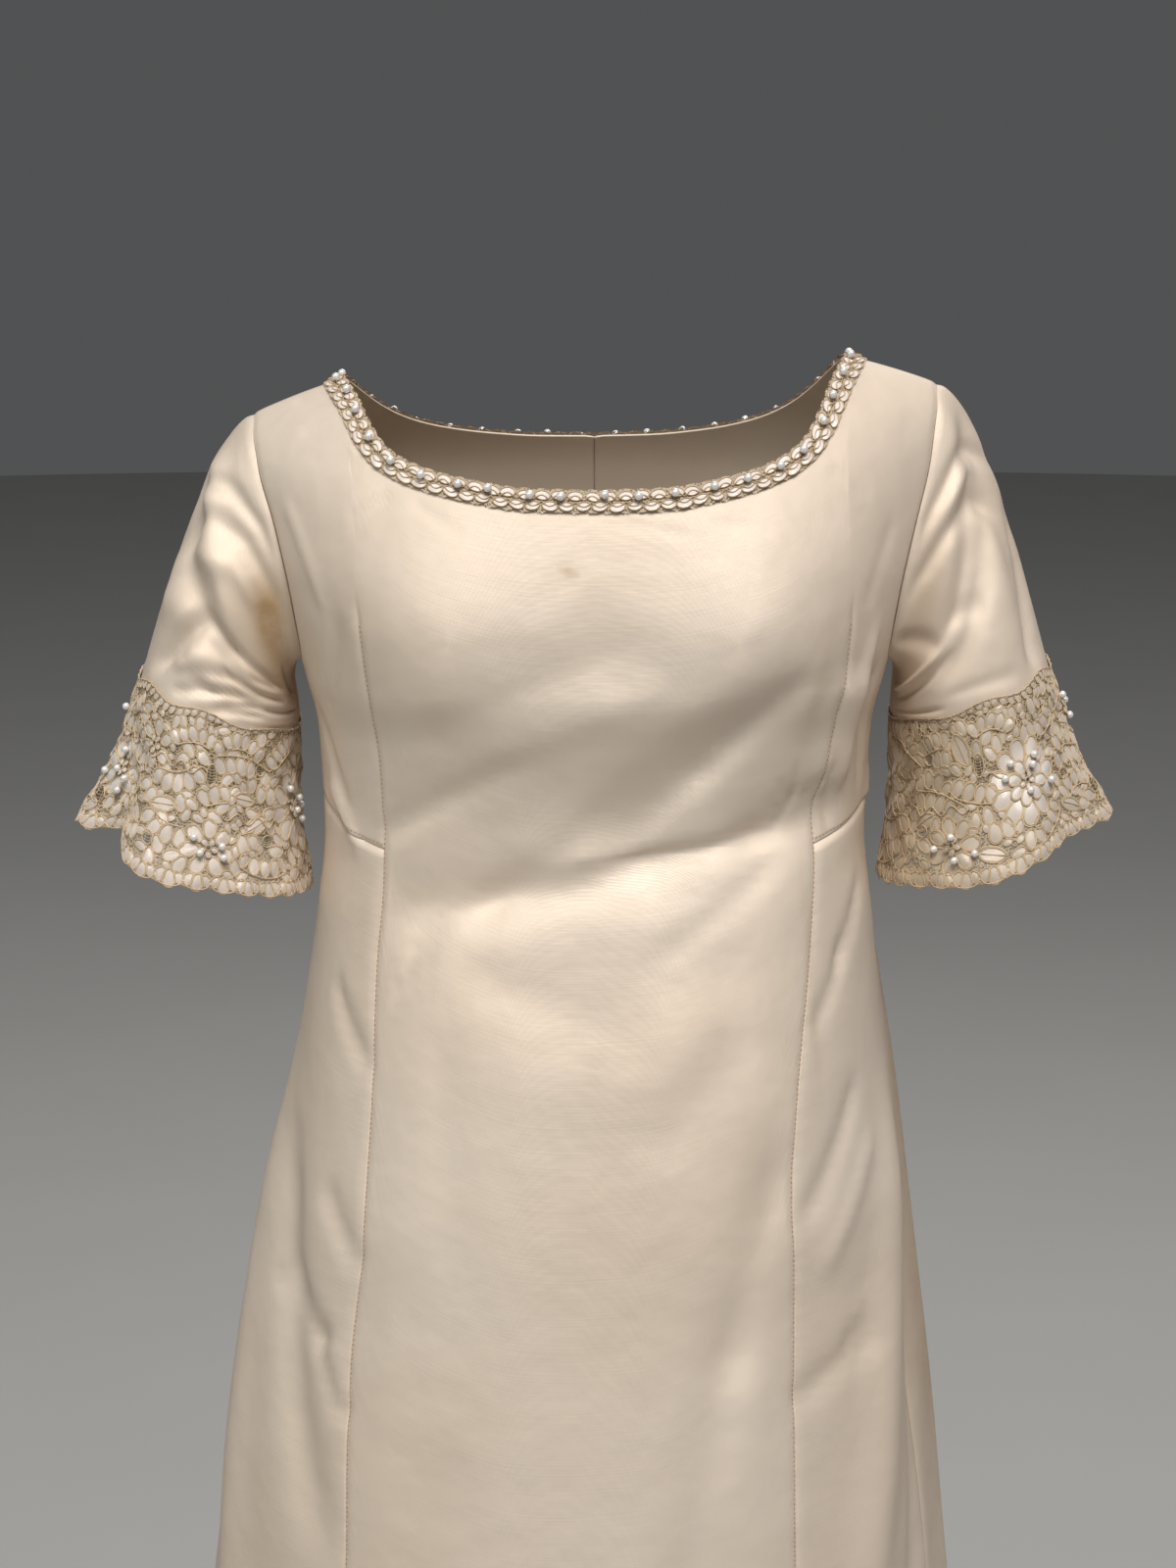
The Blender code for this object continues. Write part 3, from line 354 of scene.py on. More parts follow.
print("half width at the empire seam:", round(float(form["half_width"](EMPIRE_DROP)), 4))

# %% The worn form
def worn_form(angle, drop):
    """Points of the cloth's middle, at angles round the body and drops on the cloth."""
    angle, drop = both(angle, drop)
    turned = np.abs((angle + 180) % 360 - 180)
    rise_from, rise_over = RISE_ANGLES
    above, above_over, below, below_over = RISE_DROPS
    rise = EMPIRE_RISE * ease((turned - rise_from) / rise_over)
    share = ease((drop - above) / above_over) * (1 - ease((drop - below) / below_over))
    fall = drop - rise * share
    sine = np.sin(np.radians(angle))
    front = turned <= 90
    depth = np.where(front, form["front"](fall), form["back"](fall))
    power = np.where(front, form["front_round"](fall), form["back_round"](fall))
    bulge = np.clip(1 - np.abs(sine) ** power, 0, 1) ** (1 / power)
    half = form["half_width"](fall)
    facing = np.where(front, -1.0, 1.0)
    x = form["centre"](fall) + half * sine
    y = form["side_y"](fall) + facing * depth * bulge
    bust = np.exp(-((np.abs(x) - BUST_POINT[0]) / BUST_REACH[0]) ** 2
                  - ((fall - BUST_POINT[1]) / BUST_REACH[1]) ** 2)
    y = y - np.where(front, BUST_HEIGHT * bust * bulge, 0.0)
    folds = fold_height(angle, drop)
    out_x = sine / half
    out_y = facing * bulge / np.maximum(depth, 0.02)
    size = np.hypot(out_x, out_y)
    x = x + folds * out_x / size
    y = y + folds * out_y / size
    slope = SHOULDER_TOP - SHOULDER_FALL * np.abs(x) ** SHOULDER_POWER
    z = -fall + slope * (1 - ease(fall / SHOULDER_FADE))
    z = z + SHOULDER_TILT * x * (1 - ease(fall / TILT_FADE))
    return np.stack([x, y, z], axis=-1)


def seam_angle(side, drop):
    """Where a panel seam lies round the body."""
    across = (seam_x[side](drop) - form["centre"](drop)) / form["half_width"](drop)
    return np.degrees(np.arcsin(np.clip(across, -1, 1)))


def slopes_of(surface, a, b, step_a, step_b):
    """A surface's points, its unit directions along a and b, and its outward normals.

    From 0 on, b isn't read below 0, where the shoulders' ridge is; only the lace that lies
    over a sleeve's end has places less than 0."""
    low_b = np.where(b < 0, b - step_b, np.maximum(b - step_b, 0))
    along_a = unit(surface(a + step_a, b) - surface(a - step_a, b))
    along_b = unit(surface(a, b + step_b) - surface(a, low_b))
    return surface(a, b), along_a, along_b, unit(np.cross(along_b, along_a))


print("form at the waist:", np.round(worn_form(0.0, EMPIRE_DROP), 4).tolist())

# %% Rows and columns of the body
def row_drop(row):
    """Drop of a grid row at the panel seam and outside it."""
    row = np.asarray(row, dtype=float)
    upper = armhole_drop(np.clip(row / ARMHOLE_ROWS, 0, 1) * 180)
    underarm = ARMHOLE[-1].drop
    middle = underarm + (EMPIRE_DROP - underarm) * (row - ARMHOLE_ROWS) / UNDERARM_ROWS
    share = np.clip((row - EMPIRE_ROW) / SKIRT_ROWS, 0, 1)
    lower = EMPIRE_DROP + (LENGTH - EMPIRE_DROP) * share ** SKIRT_ROW_GROWTH
    return np.where(row <= ARMHOLE_ROWS, upper, np.where(row <= EMPIRE_ROW, middle, lower))


def edge_angle(side, row):
    """The bodice's outer edge: the armhole, then the side seam."""
    row = np.asarray(row, dtype=float)
    armhole = side * armhole_angle(np.clip(row / ARMHOLE_ROWS, 0, 1) * 180)
    return np.where(row < ARMHOLE_ROWS, armhole, side_angle[side](row_drop(row)))


def centre_place(step, row, neck, seam):
    """Angle and drop inside the panel seams; step runs from -CENTRE_HALF to CENTRE_HALF.

    Row 0 is the neckline, and the rows below it level out towards the underarm."""
    size = np.abs(step)
    share = neck["angle"](size) / NECK_POINT
    top = neck["drop"](size)
    drop = row_drop(row)
    underarm = ARMHOLE[-1].drop
    drop = np.where(row < ARMHOLE_ROWS, top + drop * (underarm - top) / underarm, drop)
    neck_angle = np.where(step < 0, -NECK_POINT, NECK_POINT)
    turn = neck_angle + (seam(step, drop) - neck_angle) * ease(row / TIP_ROW)
    return share * turn, drop


def front_seam(step, drop):
    return np.where(step < 0, seam_angle(-1, drop), seam_angle(1, drop))


def back_seam(_, drop):
    return NECK_POINT + (BACK_SEAM - NECK_POINT) * ease(drop / EMPIRE_DROP)


def front_place(column, row):
    """Column 0 is the right side, and the centre front lies in the middle."""
    step = column - SIDE_COLUMNS - CENTRE_HALF
    inner = np.clip(step, -CENTRE_HALF, CENTRE_HALF)
    angle, drop = centre_place(inner, row, front_neck, front_seam)
    beyond = np.clip(np.abs(step) - CENTRE_HALF, 0, None) / SIDE_COLUMNS
    edge = np.where(step < 0, edge_angle(-1, row), edge_angle(1, row))
    return angle + (edge - angle) * beyond, drop


def back_place(side, column, row):
    """Column 0 is the centre back, and the last column is the armhole and side seam."""
    angle, drop = centre_place(np.clip(column, 0, CENTRE_HALF), row, back_neck, back_seam)
    beyond = np.clip(column - CENTRE_HALF, 0, None) / BACK_SIDE_COLUMNS
    outer = np.abs(edge_angle(side, row))
    edge = np.where(row < ARMHOLE_ROWS, outer, 180 - outer)
    return side * (180 - (angle + (edge - angle) * beyond)), drop


print("centre front starts at", np.round(front_place(15.0, 0.0), 4).tolist())

# %% The sleeves' surfaces
def turn_of(side, around):
    """Degrees round a sleeve, counted the way the body's angle is, so that normals point out."""
    return -side * around


def around_armhole(side, around):
    """A point of the armhole, its bodice normal, and the way into the hole along the cloth."""
    def point(degrees):
        degrees = (degrees + 180) % 360 - 180
        angle = armhole_angle(np.abs(degrees))
        angle = np.where(degrees >= 0, angle, 180 - angle)
        return side * angle, armhole_drop(np.abs(degrees))

    place, _, _, normal = slopes_of(worn_form, *point(around), *BODY_STEPS)
    ahead = worn_form(*point(around + 0.5))
    behind = worn_form(*point(around - 0.5))
    inward = unit(np.cross(normal, unit(ahead - behind))) * side
    return place, normal, inward


def square_to_arm(side, around, half_width=1.0, half_depth=1.0):
    """The way out from the arm's middle line, square to it; 0 is outwards, 90 the front."""
    turn, lean = np.radians(around), np.radians(ARM_LEAN)
    across = half_width * np.cos(turn)
    return np.stack([side * across * np.cos(lean), -half_depth * np.sin(turn),
                     across * np.sin(lean)], axis=-1)


def ring_point(ring, side, around):
    """A point of a sleeve ring."""
    middle = np.array([side * ring.x, ring.y, ring.z + SLEEVE_RAISE * side])
    return middle + square_to_arm(side, around, ring.half_width, ring.half_depth)


def arm_way(side):
    """The way down along the arm."""
    lean = np.radians(ARM_LEAN)
    return np.array([side * np.sin(lean), 0.0, -np.cos(lean)])


def sleeve_form(side, folds):
    """The satin sleeve: it leaves the armhole along the cloth at the shoulder, and square
    to the bodice at the underarm, and ends along the arm."""
    def surface(turn, down):
        around, down = both(turn_of(side, np.asarray(turn, float)), down)
        start, normal, inward = around_armhole(side, around)
        leave = np.radians(45 * (1 - np.cos(np.radians(around))))[..., None]
        start = start + inward * (SEAM_GAP / 2 + SATIN_WALL * 0.8 * np.sin(leave))
        end = ring_point(SLEEVE_END, side, around)
        reach = np.linalg.norm(end - start, axis=-1, keepdims=True)
        first = np.cos(leave) * inward + np.sin(leave) * normal
        first = first * np.minimum(CAP_REACH, reach)
        last = arm_way(side) * np.minimum(SLEEVE_SET, reach)
        points = smooth_way(down[..., None], start, end, first, last)
        height = folds_at(folds, SLEEVE_RADIUS, SLEEVE_FALL, around % 360, down)
        height = height * ease(down / FOLD_FADES[0]) * ease((1 - down) / FOLD_FADES[1])
        return points + square_to_arm(side, around) * height[..., None]

    return surface


CUFF_LENGTH = (Vector(CUFF_END[:3]) - Vector(SLEEVE_END[:3])).length


def cuff_form(side, flutes):
    """The lace flounce: 0 is where the satin ends, 1 the hem, less than 0 over the satin."""
    def surface(turn, down):
        around, down = both(turn_of(side, np.asarray(turn, float)), down)
        below = np.clip(down, 0, None)[..., None]
        above = np.clip(down, None, 0)[..., None]
        top = ring_point(SLEEVE_END, side, around)
        points = top + (ring_point(CUFF_END, side, around) - top) * below
        points = points + arm_way(side) * above * CUFF_LENGTH
        height = -CUFF_BOW * np.sin(pi * np.clip(down, 0, 1))
        lift = np.zeros_like(around)
        for f in flutes:
            away = (around - f.around + 180) % 360 - 180
            height = height + ridge(away, f.height, f.width) * below[..., 0] ** CUFF_FLUTE_GROWTH
            lift = lift + ridge(away, f.lift, f.width) * below[..., 0] ** CUFF_FLUTE_GROWTH
        points = points + square_to_arm(side, around) * height[..., None]
        return points - arm_way(side) * lift[..., None]

    return surface


print("cuff length", round(CUFF_LENGTH, 4))

# %% [markdown]
# ## How cloth is laid on the form
# Real cloth is flat, cut to a pattern, sewn, and then bent by the body under it. Here each
# panel starts in the same way, as a flat grid from Blender's own grid operator. Every point
# of the grid knows its column and row, a function gives its place on the worn form, and
# small reliefs are added there: creases, the dip of a seam, the pull of a stitch. A cloth
# simulation could drape the skirt, but folds listed in tables stay exactly where they should.

# %% Fine steps and fine folds
SATIN_THICK = 0.0010      # one layer of duchess satin, with its body
SEAM_DIP = 0.0008         # how far a seam sinks between two panels
SEAM_DIP_WIDTH = 0.0020
SEAM_PUFF = 0.0001        # and how far the cloth swells beside it
SEAM_PUFF_PLACE = 0.0075
SEAM_PUFF_WIDTH = 0.0060


def fine_steps(first, last, pieces, seams=(), near=(0.06, 0.16)):
    """Grid lines at equal steps, with a few more close to every seam."""
    lines = list(np.linspace(first, last, round((last - first) * pieces) + 1))
    for seam in seams:
        for step in near:
            lines += [line for line in (seam - step, seam + step) if first < line < last]
    lines = np.unique(np.round(lines, 5))
    return lines[np.concatenate([[True], np.diff(lines) > 0.03])]


def seam_relief(distance):
    """The dip of a seam and the swelling beside it, at a distance from it."""
    return (ridge(distance, -SEAM_DIP, SEAM_DIP_WIDTH)
            + ridge(distance - SEAM_PUFF_PLACE, SEAM_PUFF, SEAM_PUFF_WIDTH))


print("a seam sinks", SEAM_DIP * 1000, "mm")

# %% Laying a flat grid
# A laid grid: its places on the surface, its own lines, and its runs in metres.
Grid = namedtuple("Grid", "a b column row across down")


def run_lengths(points, axis):
    """Distances run along one way of a grid of points."""
    steps = np.linalg.norm(np.diff(points, axis=axis), axis=-1)
    start = np.zeros_like(np.take(steps, [0], axis=axis))
    return np.concatenate([start, np.cumsum(steps, axis=axis)], axis=axis)


def lay_cloth(columns, rows, place, surface, steps, relief, lift=0.0):
    """Lay a flat grid on a surface; relief gives heights and named tags for its points."""
    bm = bmesh.new()
    bmesh.ops.create_grid(bm, x_segments=len(columns) - 1, y_segments=len(rows) - 1, size=1.0)
    flat = np.array([vert.co for vert in bm.verts])
    i = np.rint((flat[:, 0] + 1) / 2 * (len(columns) - 1)).astype(int)
    j = np.rint((flat[:, 1] + 1) / 2 * (len(rows) - 1)).astype(int)
    column_grid, row_grid = np.meshgrid(columns, rows, indexing="ij")
    a, b = np.broadcast_arrays(*place(column_grid, row_grid))
    points, _, _, normal = slopes_of(surface, a, b, *steps)
    across = run_lengths(points, 0)
    down = run_lengths(points, 1)
    across = across - across[len(columns) // 2]
    height, tags = relief(Grid(a, b, column_grid, row_grid, across, down))
    points = points + normal * (height + lift)[..., None]
    tags = {"column": column_grid, "row": row_grid, **tags}
    layers = {key: bm.verts.layers.float.new(key) for key in tags}
    for vert, x, y in zip(bm.verts, i, j):
        vert.co = points[x, y]
        for key, layer in layers.items():
            vert[layer] = tags[key][x, y]
    sheet_map = bm.loops.layers.uv.new("cloth")
    for face in bm.faces:
        for loop in face.loops:
            x, y = i[loop.vert.index], j[loop.vert.index]
            loop[sheet_map].uv = (across[x, y], down[x, y])
    bm.normal_update()
    bm.faces.ensure_lookup_table()
    first = bm.faces[len(bm.faces) // 2]
    corner = first.verts[0].index
    if first.normal.dot(Vector(normal[i[corner], j[corner]])) < 0:
        bmesh.ops.reverse_faces(bm, faces=bm.faces[:])
    return bm


def cut_away(bm, spare, first="column", second="row"):
    """Cut away the faces that a rule names by the mean of two tags; returns their points."""
    tags = [bm.verts.layers.float[name] for name in (first, second)]
    out = [face for face in bm.faces
           if spare(*(sum(vert[tag] for vert in face.verts) / len(face.verts) for tag in tags))]
    rim = {vert for face in out for vert in face.verts}
    bmesh.ops.delete(bm, geom=out, context="FACES")
    return [vert for vert in rim if vert.is_valid]


print("panels are cut with bmesh.ops.create_grid")

# %% Finishing a piece
cloth_area = {}


def mesh_from(bm, name):
    """A mesh of a bmesh, which ends there."""
    mesh = bpy.data.meshes.new(name)
    bm.to_mesh(mesh)
    bm.free()
    return mesh


def in_scene(name, data):
    """A new object of the scene."""
    made = bpy.data.objects.new(name, data)
    bpy.context.scene.collection.objects.link(made)
    return made


def piece_from(bm, name, materials, nodes=(), thick=None):
    """Make an object of a bmesh, in the body's frame, standing for its CAD nodes."""
    mesh = mesh_from(bm, name)
    mesh.shade_smooth()
    for material in materials:
        mesh.materials.append(material)
    piece = in_scene(name, mesh)
    cloth_area[name] = sum(face.area for face in mesh.polygons)
    if thick is not None:
        wall = piece.modifiers.new("cloth thickness", "SOLIDIFY")
        wall.thickness = thick
        wall.offset = -1.0
        wall.material_offset = len(materials) - 1
        wall.material_offset_rim = 0
    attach(piece, "root")
    if nodes:
        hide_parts(*nodes)
    print(name, len(mesh.polygons), "faces,", round(cloth_area[name], 4), "m2")
    return piece


def declare(piece, width, length, with_pieces=()):
    """The area of a sheet of cloth, at most the rectangle that its piece was cut from; it is not
    kept.
    """
    area = min(cloth_area[piece.name], width * length)


print("every piece rides on the one body, root")

# %% [markdown]
# ## Duchess satin
# Duchess satin is a heavy, tightly woven cloth whose long floating threads lie along it and
# reflect light in one broad soft sheen. A plain glossy colour would look like plastic. So
# the base colour wanders a little between ivory and champagne, the roughness changes with
# it, the weave and the odd thicker thread are a fine bump in the cloth's own map, and the
# cloth is puckered along its seams. Age marks, and painted shade at the skirt's left side,
# are drawn as an attribute of the points.

# %% Node helpers
def plug(tree, made, inputs):
    """Set each input of a node to a value, or join it to another node's socket."""
    for key, value in inputs.items():
        if isinstance(value, bpy.types.NodeSocket):
            tree.links.new(value, made.inputs[key])
        else:
            made.inputs[key].default_value = value


def node(tree, kind, output, inputs=None, **settings):
    """The output socket of a new node."""
    made = tree.nodes.new("ShaderNode" + kind)
    for key, value in settings.items():
        setattr(made, key, value)
    plug(tree, made, inputs or {})
    return made.outputs[output]


def noise(tree, vector, scale, detail=3.0, rough=0.5):
    return node(tree, "TexNoise", "Fac",
                {"Vector": vector, "Scale": scale, "Detail": detail, "Roughness": rough})


def stretched(tree, vector, across, along):
    return node(tree, "Mapping", "Vector", {"Vector": vector, "Scale": (across, along, 1.0)})


def waves(tree, vector, direction, scale, distortion, detail=2.0):
    return node(tree, "TexWave", "Fac", {"Vector": vector, "Scale": scale,
                                         "Distortion": distortion, "Detail": detail},
                bands_direction=direction)


def remap(tree, value, low, high, to_low, to_high):
    return node(tree, "MapRange", "Result", {"Value": value, "From Min": low, "From Max": high,
                                             "To Min": to_low, "To Max": to_high})


def arithmetic(tree, operation, first, second):
    return node(tree, "Math", 0, {0: first, 1: second}, operation=operation)


def tagged(tree, name):
    """A tag of the points."""
    return node(tree, "Attribute", "Fac", attribute_name=name)


def blend_colour(tree, share, first, second):
    """Mix of two colours, each a socket or a tuple."""
    first, second = ((*value, 1.0) if isinstance(value, tuple) else value
                     for value in (first, second))
    return node(tree, "Mix", 2, {"Factor": share, 6: first, 7: second}, data_type="RGBA")


def bump(tree, height, strength, distance, under=None):
    return node(tree, "Bump", "Normal", {"Height": height, "Strength": strength,
                                         "Distance": distance,
                                         **({} if under is None else {"Normal": under})})


Finish = namedtuple("Finish", "material tree shader place cloud colour")


def new_finish(name, scale, first, second, aged_and_shaded=None, detail=2.0, span=None, **looks):
    """A material whose colour drifts between two, and turns to its aged colour where the lace is
    aged, and where shade is painted on a cuff.
    """
    material = bpy.data.materials.new(name)
    material.use_nodes = True
    tree = material.node_tree
    tree.nodes.clear()
    shader = tree.nodes.new("ShaderNodeBsdfPrincipled")
    output = tree.nodes.new("ShaderNodeOutputMaterial")
    tree.links.new(shader.outputs["BSDF"], output.inputs["Surface"])
    place = node(tree, "TexCoord", "Object")
    cloud = noise(tree, place, scale, detail)
    share = remap(tree, cloud, *span, 0.0, 1.0) if span else cloud
    colour = blend_colour(tree, share, first, second)
    if aged_and_shaded:
        colour = blend_colour(tree, tagged(tree, "age"), colour, aged_and_shaded)
    looks = {key.replace("_", " "): value for key, value in looks.items()}
    plug(tree, shader, {"Base Color": colour, **looks})
    return Finish(material, tree, shader, place, cloud, colour)


print("node helpers ready")

# %% The satin's two sides
IVORY = (0.810, 0.700, 0.590)
CHAMPAGNE = (0.760, 0.630, 0.505)
# Brown of the age marks, which also paints shade on the skirt's left side.
AGE_MARK_AND_SHADE = (0.430, 0.275, 0.135)


def make_satin():
    """The right side: threads that shine along the cloth, and stains and painted shade where it is
    tagged.
    """
    made = new_finish("duchess_satin", 5.0, IVORY, CHAMPAGNE, detail=3.0, span=(0.35, 0.68),
                      Metallic=0.31, Anisotropic=0.3)
    tree, place = made.tree, made.place
    cloth = node(tree, "UVMap", "UV", uv_map="cloth")
    blot = remap(tree, noise(tree, place, 42.0, 4.0, 0.6), 0.30, 0.62, 0.62, 1.0)
    stain = arithmetic(tree, "MULTIPLY", tagged(tree, "stain"), blot)
    fine = noise(tree, stretched(tree, cloth, 260.0, 1300.0), 1.0, 2.0)
    weft = waves(tree, cloth, "Y", 560.0, 0.6, 1.0)
    slub = noise(tree, stretched(tree, cloth, 14.0, 900.0), 1.0, 2.0)
    weave = arithmetic(tree, "ADD", weft, arithmetic(tree, "MULTIPLY", slub, 2.0))
    shape = bump(tree, weave, 0.24, 0.0003)
    shape = bump(tree, noise(tree, place, 34.0, 2.0, 0.45), 0.14, 0.010, shape)
    pull = noise(tree, stretched(tree, cloth, 40.0, 190.0), 1.0, 2.0)
    pull = arithmetic(tree, "MULTIPLY", pull, tagged(tree, "pucker"))
    plug(tree, made.shader, {
        "Base Color": blend_colour(tree, stain, made.colour, AGE_MARK_AND_SHADE),
        "Roughness": remap(tree, fine, 0.3, 0.7, 0.58, 0.67),
        "Normal": bump(tree, pull, 0.16, 0.0020, shape)})
    return made.material


def make_wrong_side():
    """The same threads, but dull and a little greyer."""
    made = new_finish("satin_wrong_side", 7.0, (0.70, 0.60, 0.49), (0.62, 0.51, 0.40),
                      detail=3.0, Roughness=0.72, Sheen_Weight=0.15)
    cloth = node(made.tree, "UVMap", "UV", uv_map="cloth")
    twill = waves(made.tree, cloth, "DIAGONAL", 420.0, 0.8)
    plug(made.tree, made.shader, {"Normal": bump(made.tree, twill, 0.25, 0.0003)})
    return made.material


satin = make_satin()
satin_wrong_side = make_wrong_side()
print("satin:", len(satin.node_tree.nodes), "nodes")

# %% [markdown]
# ## Lace, cord and pearls
# Corded lace has three parts: a fine net, petals filled with dense satin stitch, and a
# thicker cord that outlines them. Each gets its own finish. The petals' stitches run across
# them in the petals' own map, the cord is twisted and more golden, and the net is a sheet
# whose threads stay while the holes between them are clear.

# %% Lace finishes
# Colours that aged lace turns to; on the cuffs they also paint shade on the side towards the body.
LACE_AGE_AND_SHADE = (0.47, 0.36, 0.23)
CORD_AGE_AND_SHADE = (0.50, 0.36, 0.21)


def make_fill():
    made = new_finish("petal_satin_stitch", 60.0, (0.97, 0.89, 0.84), (0.82, 0.73, 0.66),
                      LACE_AGE_AND_SHADE, Roughness=0.36, Metallic=0.12, Sheen_Weight=0.35,
                      Sheen_Roughness=0.3)
    stitch = node(made.tree, "UVMap", "UV", uv_map="stitch")
    threads = waves(made.tree, stitch, "X", 760.0, 2.0)
    plug(made.tree, made.shader, {"Normal": bump(made.tree, threads, 0.40, 0.0003)})
    return made.material


def make_cord():
    made = new_finish("lace_cord", 90.0, (0.74, 0.59, 0.40), (0.58, 0.44, 0.27), CORD_AGE_AND_SHADE,
                      Roughness=0.5, Sheen_Weight=0.3)
    twist = noise(made.tree, made.place, 1500.0, 1.0)
    plug(made.tree, made.shader, {"Normal": bump(made.tree, twist, 0.5, 0.0003)})
    return made.material


def make_net():
    made = new_finish("lace_net", 50.0, (0.56, 0.45, 0.32), (0.46, 0.36, 0.25), LACE_AGE_AND_SHADE,
                      Roughness=0.75)
    tree = made.tree
    cloth = node(tree, "UVMap", "UV", uv_map="cloth")
    cells = node(tree, "TexVoronoi", "Distance",
                 {"Vector": cloth, "Scale": 720.0, "Randomness": 0.55},
                 feature="DISTANCE_TO_EDGE")
    plug(tree, made.shader, {
        "Alpha": arithmetic(tree, "LESS_THAN", cells, 0.18),
        "Normal": bump(tree, noise(tree, made.place, 900.0), 0.4, 0.0003)})
    return made.material


def make_pearl():
    made = new_finish("pearl", 240.0, (0.93, 0.91, 0.89), (0.80, 0.77, 0.75), Metallic=0.28,
                      Coat_Weight=0.8, Coat_Roughness=0.08)
    rough = remap(made.tree, made.cloud, 0.3, 0.7, 0.14, 0.26)
    plug(made.tree, made.shader, {"Roughness": rough})
    return made.material


petal_fill, lace_cord, lace_net, pearl = make_fill(), make_cord(), make_net(), make_pearl()
print("finishes:", [m.name for m in (petal_fill, lace_cord, lace_net, pearl)])

# %% [markdown]
# ## The satin panels
# The front is cut in one from neckline to hem, with a dart sewn from each bust point down
# to the empire seam, where the side-front panels hang. A crease in satin is never alone:
# long soft drags run across the body from the fuller left side, short ones fan out where a
# seam pulls, and little puckers stand beside the braid. They are listed as a line from one
# place to another, a height (less than 0 is a trough) and a width.

# %% Creases of the body
BODY_CREASES = [Drag(*row) for row in (
    (58, 0.222, 4, 0.243, -0.005, 0.02), (16, 0.238, -44, 0.276, -0.0042, 0.019),
    (46, 0.19, -40, 0.214, -0.0042, 0.034), (48, 0.227, 4, 0.251, -0.0026, 0.0085),
    (4, 0.251, -24, 0.266, -0.0024, 0.0085), (2, 0.14, -42, 0.18, 0.0014, 0.018),
    (40, 0.152, 8, 0.222, -0.003, 0.015), (4, 0.132, -40, 0.179, -0.0009, 0.009),
    (12, 0.15, -22, 0.186, 0.0009, 0.008), (-13, 0.188, -50, 0.234, -0.0016, 0.0075),
    (4, 0.218, -26, 0.27, -0.0019, 0.0085), (43, 0.148, 20, 0.2, -0.0018, 0.0085),
    (24, 0.194, 1, 0.238, -0.0016, 0.008), (36, 0.176, 14, 0.224, 0.001, 0.007),
    (2, 0.248, 41, 0.23, -0.0011, 0.0055), (2, 0.258, 40, 0.242, 0.0009, 0.005),
    (12, 0.293, 40, 0.247, -0.0012, 0.006), (-40, 0.296, -28, 0.268, -0.0009, 0.0024),
    (-37.5, 0.299, -26.5, 0.273, 0.0006, 0.0024), (-43, 0.318, -33, 0.292, -0.0008, 0.003),
    (-26, 0.3, 6, 0.33, -0.001, 0.012), (-20, 0.356, 22, 0.336, 0.001, 0.028),
    (30, 0.33, 12, 0.392, -0.001, 0.016), (47, 0.214, 41, 0.206, -0.0011, 0.003),
    (47, 0.215, 39, 0.218, -0.0011, 0.0032), (47, 0.214, 42, 0.228, -0.001, 0.003),
    (47, 0.213, 45, 0.196, -0.0009, 0.003), (48, 0.214, 57, 0.204, -0.001, 0.0032),
    (-70, 0.224, -57, 0.247, 0.0022, 0.0055), (-76, 0.18, -62, 0.232, -0.0016, 0.006),
    (-52, 0.12, -66, 0.175, -0.0013, 0.006), (62, 0.128, 60, 0.214, 0.002, 0.006),
    (68, 0.15, 72, 0.225, -0.0022, 0.006), (54, 0.16, 58, 0.236, -0.0015, 0.0055),
    (-62, 0.324, -47, 0.356, -0.0019, 0.006), (-54, 0.424, -42, 0.46, -0.002, 0.0065),
    (-63, 0.474, -48, 0.506, -0.0028, 0.0085), (-50, 0.5, -40.5, 0.54, -0.0026, 0.0075),
    (-47, 0.505, -41, 0.534, 0.0022, 0.005), (-69, 0.481, -64, 0.49, -0.001, 0.003),
    (72, 0.282, 56, 0.309, -0.0018, 0.0065), (60, 0.304, 47.5, 0.336, -0.0016, 0.006),
    (60, 0.374, 41, 0.436, -0.0024, 0.0075), (64, 0.404, 46, 0.462, 0.0016, 0.006),
    (58, 0.505, 37.5, 0.53, -0.0024, 0.0075), (57.5, 0.496, 50, 0.507, -0.0012, 0.0035),
    (58, 0.512, 51, 0.523, -0.001, 0.0035), (36.5, 0.398, 25, 0.51, -0.003, 0.013),
    (27, 0.49, 17, 0.66, -0.0032, 0.015), (33, 0.44, 23, 0.6, 0.0018, 0.012),
    (-30, 0.34, -22, 0.46, -0.0009, 0.011), (-20, 0.56, -27, 0.76, -0.002, 0.016),
    (6, 0.7, 2, 0.96, -0.0022, 0.018), (-44, 0.9, -30, 1.12, 0.0024, 0.018),
    (30, 0.98, 20, 1.24, -0.0024, 0.02), (56, 0.7, 70, 0.92, 0.0026, 0.014),
    (-60, 0.7, -76, 0.9, -0.0026, 0.014), (-42.5, 0.01, -52, 0.004, -0.0006, 0.002),
    (-42, 0.026, -51, 0.021, -0.0006, 0.002), (-40, 0.042, -50, 0.038, -0.0007, 0.0022),
    (-34, 0.06, -44, 0.072, -0.0006, 0.0024), (-30, 0.066, -23, 0.08, -0.0005, 0.0022),
    (5, 0.076, 16, 0.082, -0.0005, 0.002), (20, 0.075, 29, 0.078, -0.0005, 0.002),
    (40, 0.05, 50, 0.058, -0.0005, 0.0022), (-60, 0.06, -56, 0.11, 0.0009, 0.005),
    (58, 0.07, 56, 0.112, -0.0008, 0.005),
)]
HIDDEN_CREASES = 46
UPPER_CREASES = 18        # so many of them, the first, are on the bodice
CREASE_DEPTH = 1.3        # all creases of the body are this much deeper than listed
HEM_TURN_UP = 0.045       # the hem's stitches pull a faint line this far above it
HEM_DIP, HEM_DIP_WIDTH = 0.0006, 0.0035
PUCKER_REACH = 0.008      # how far from a seam its puckers reach


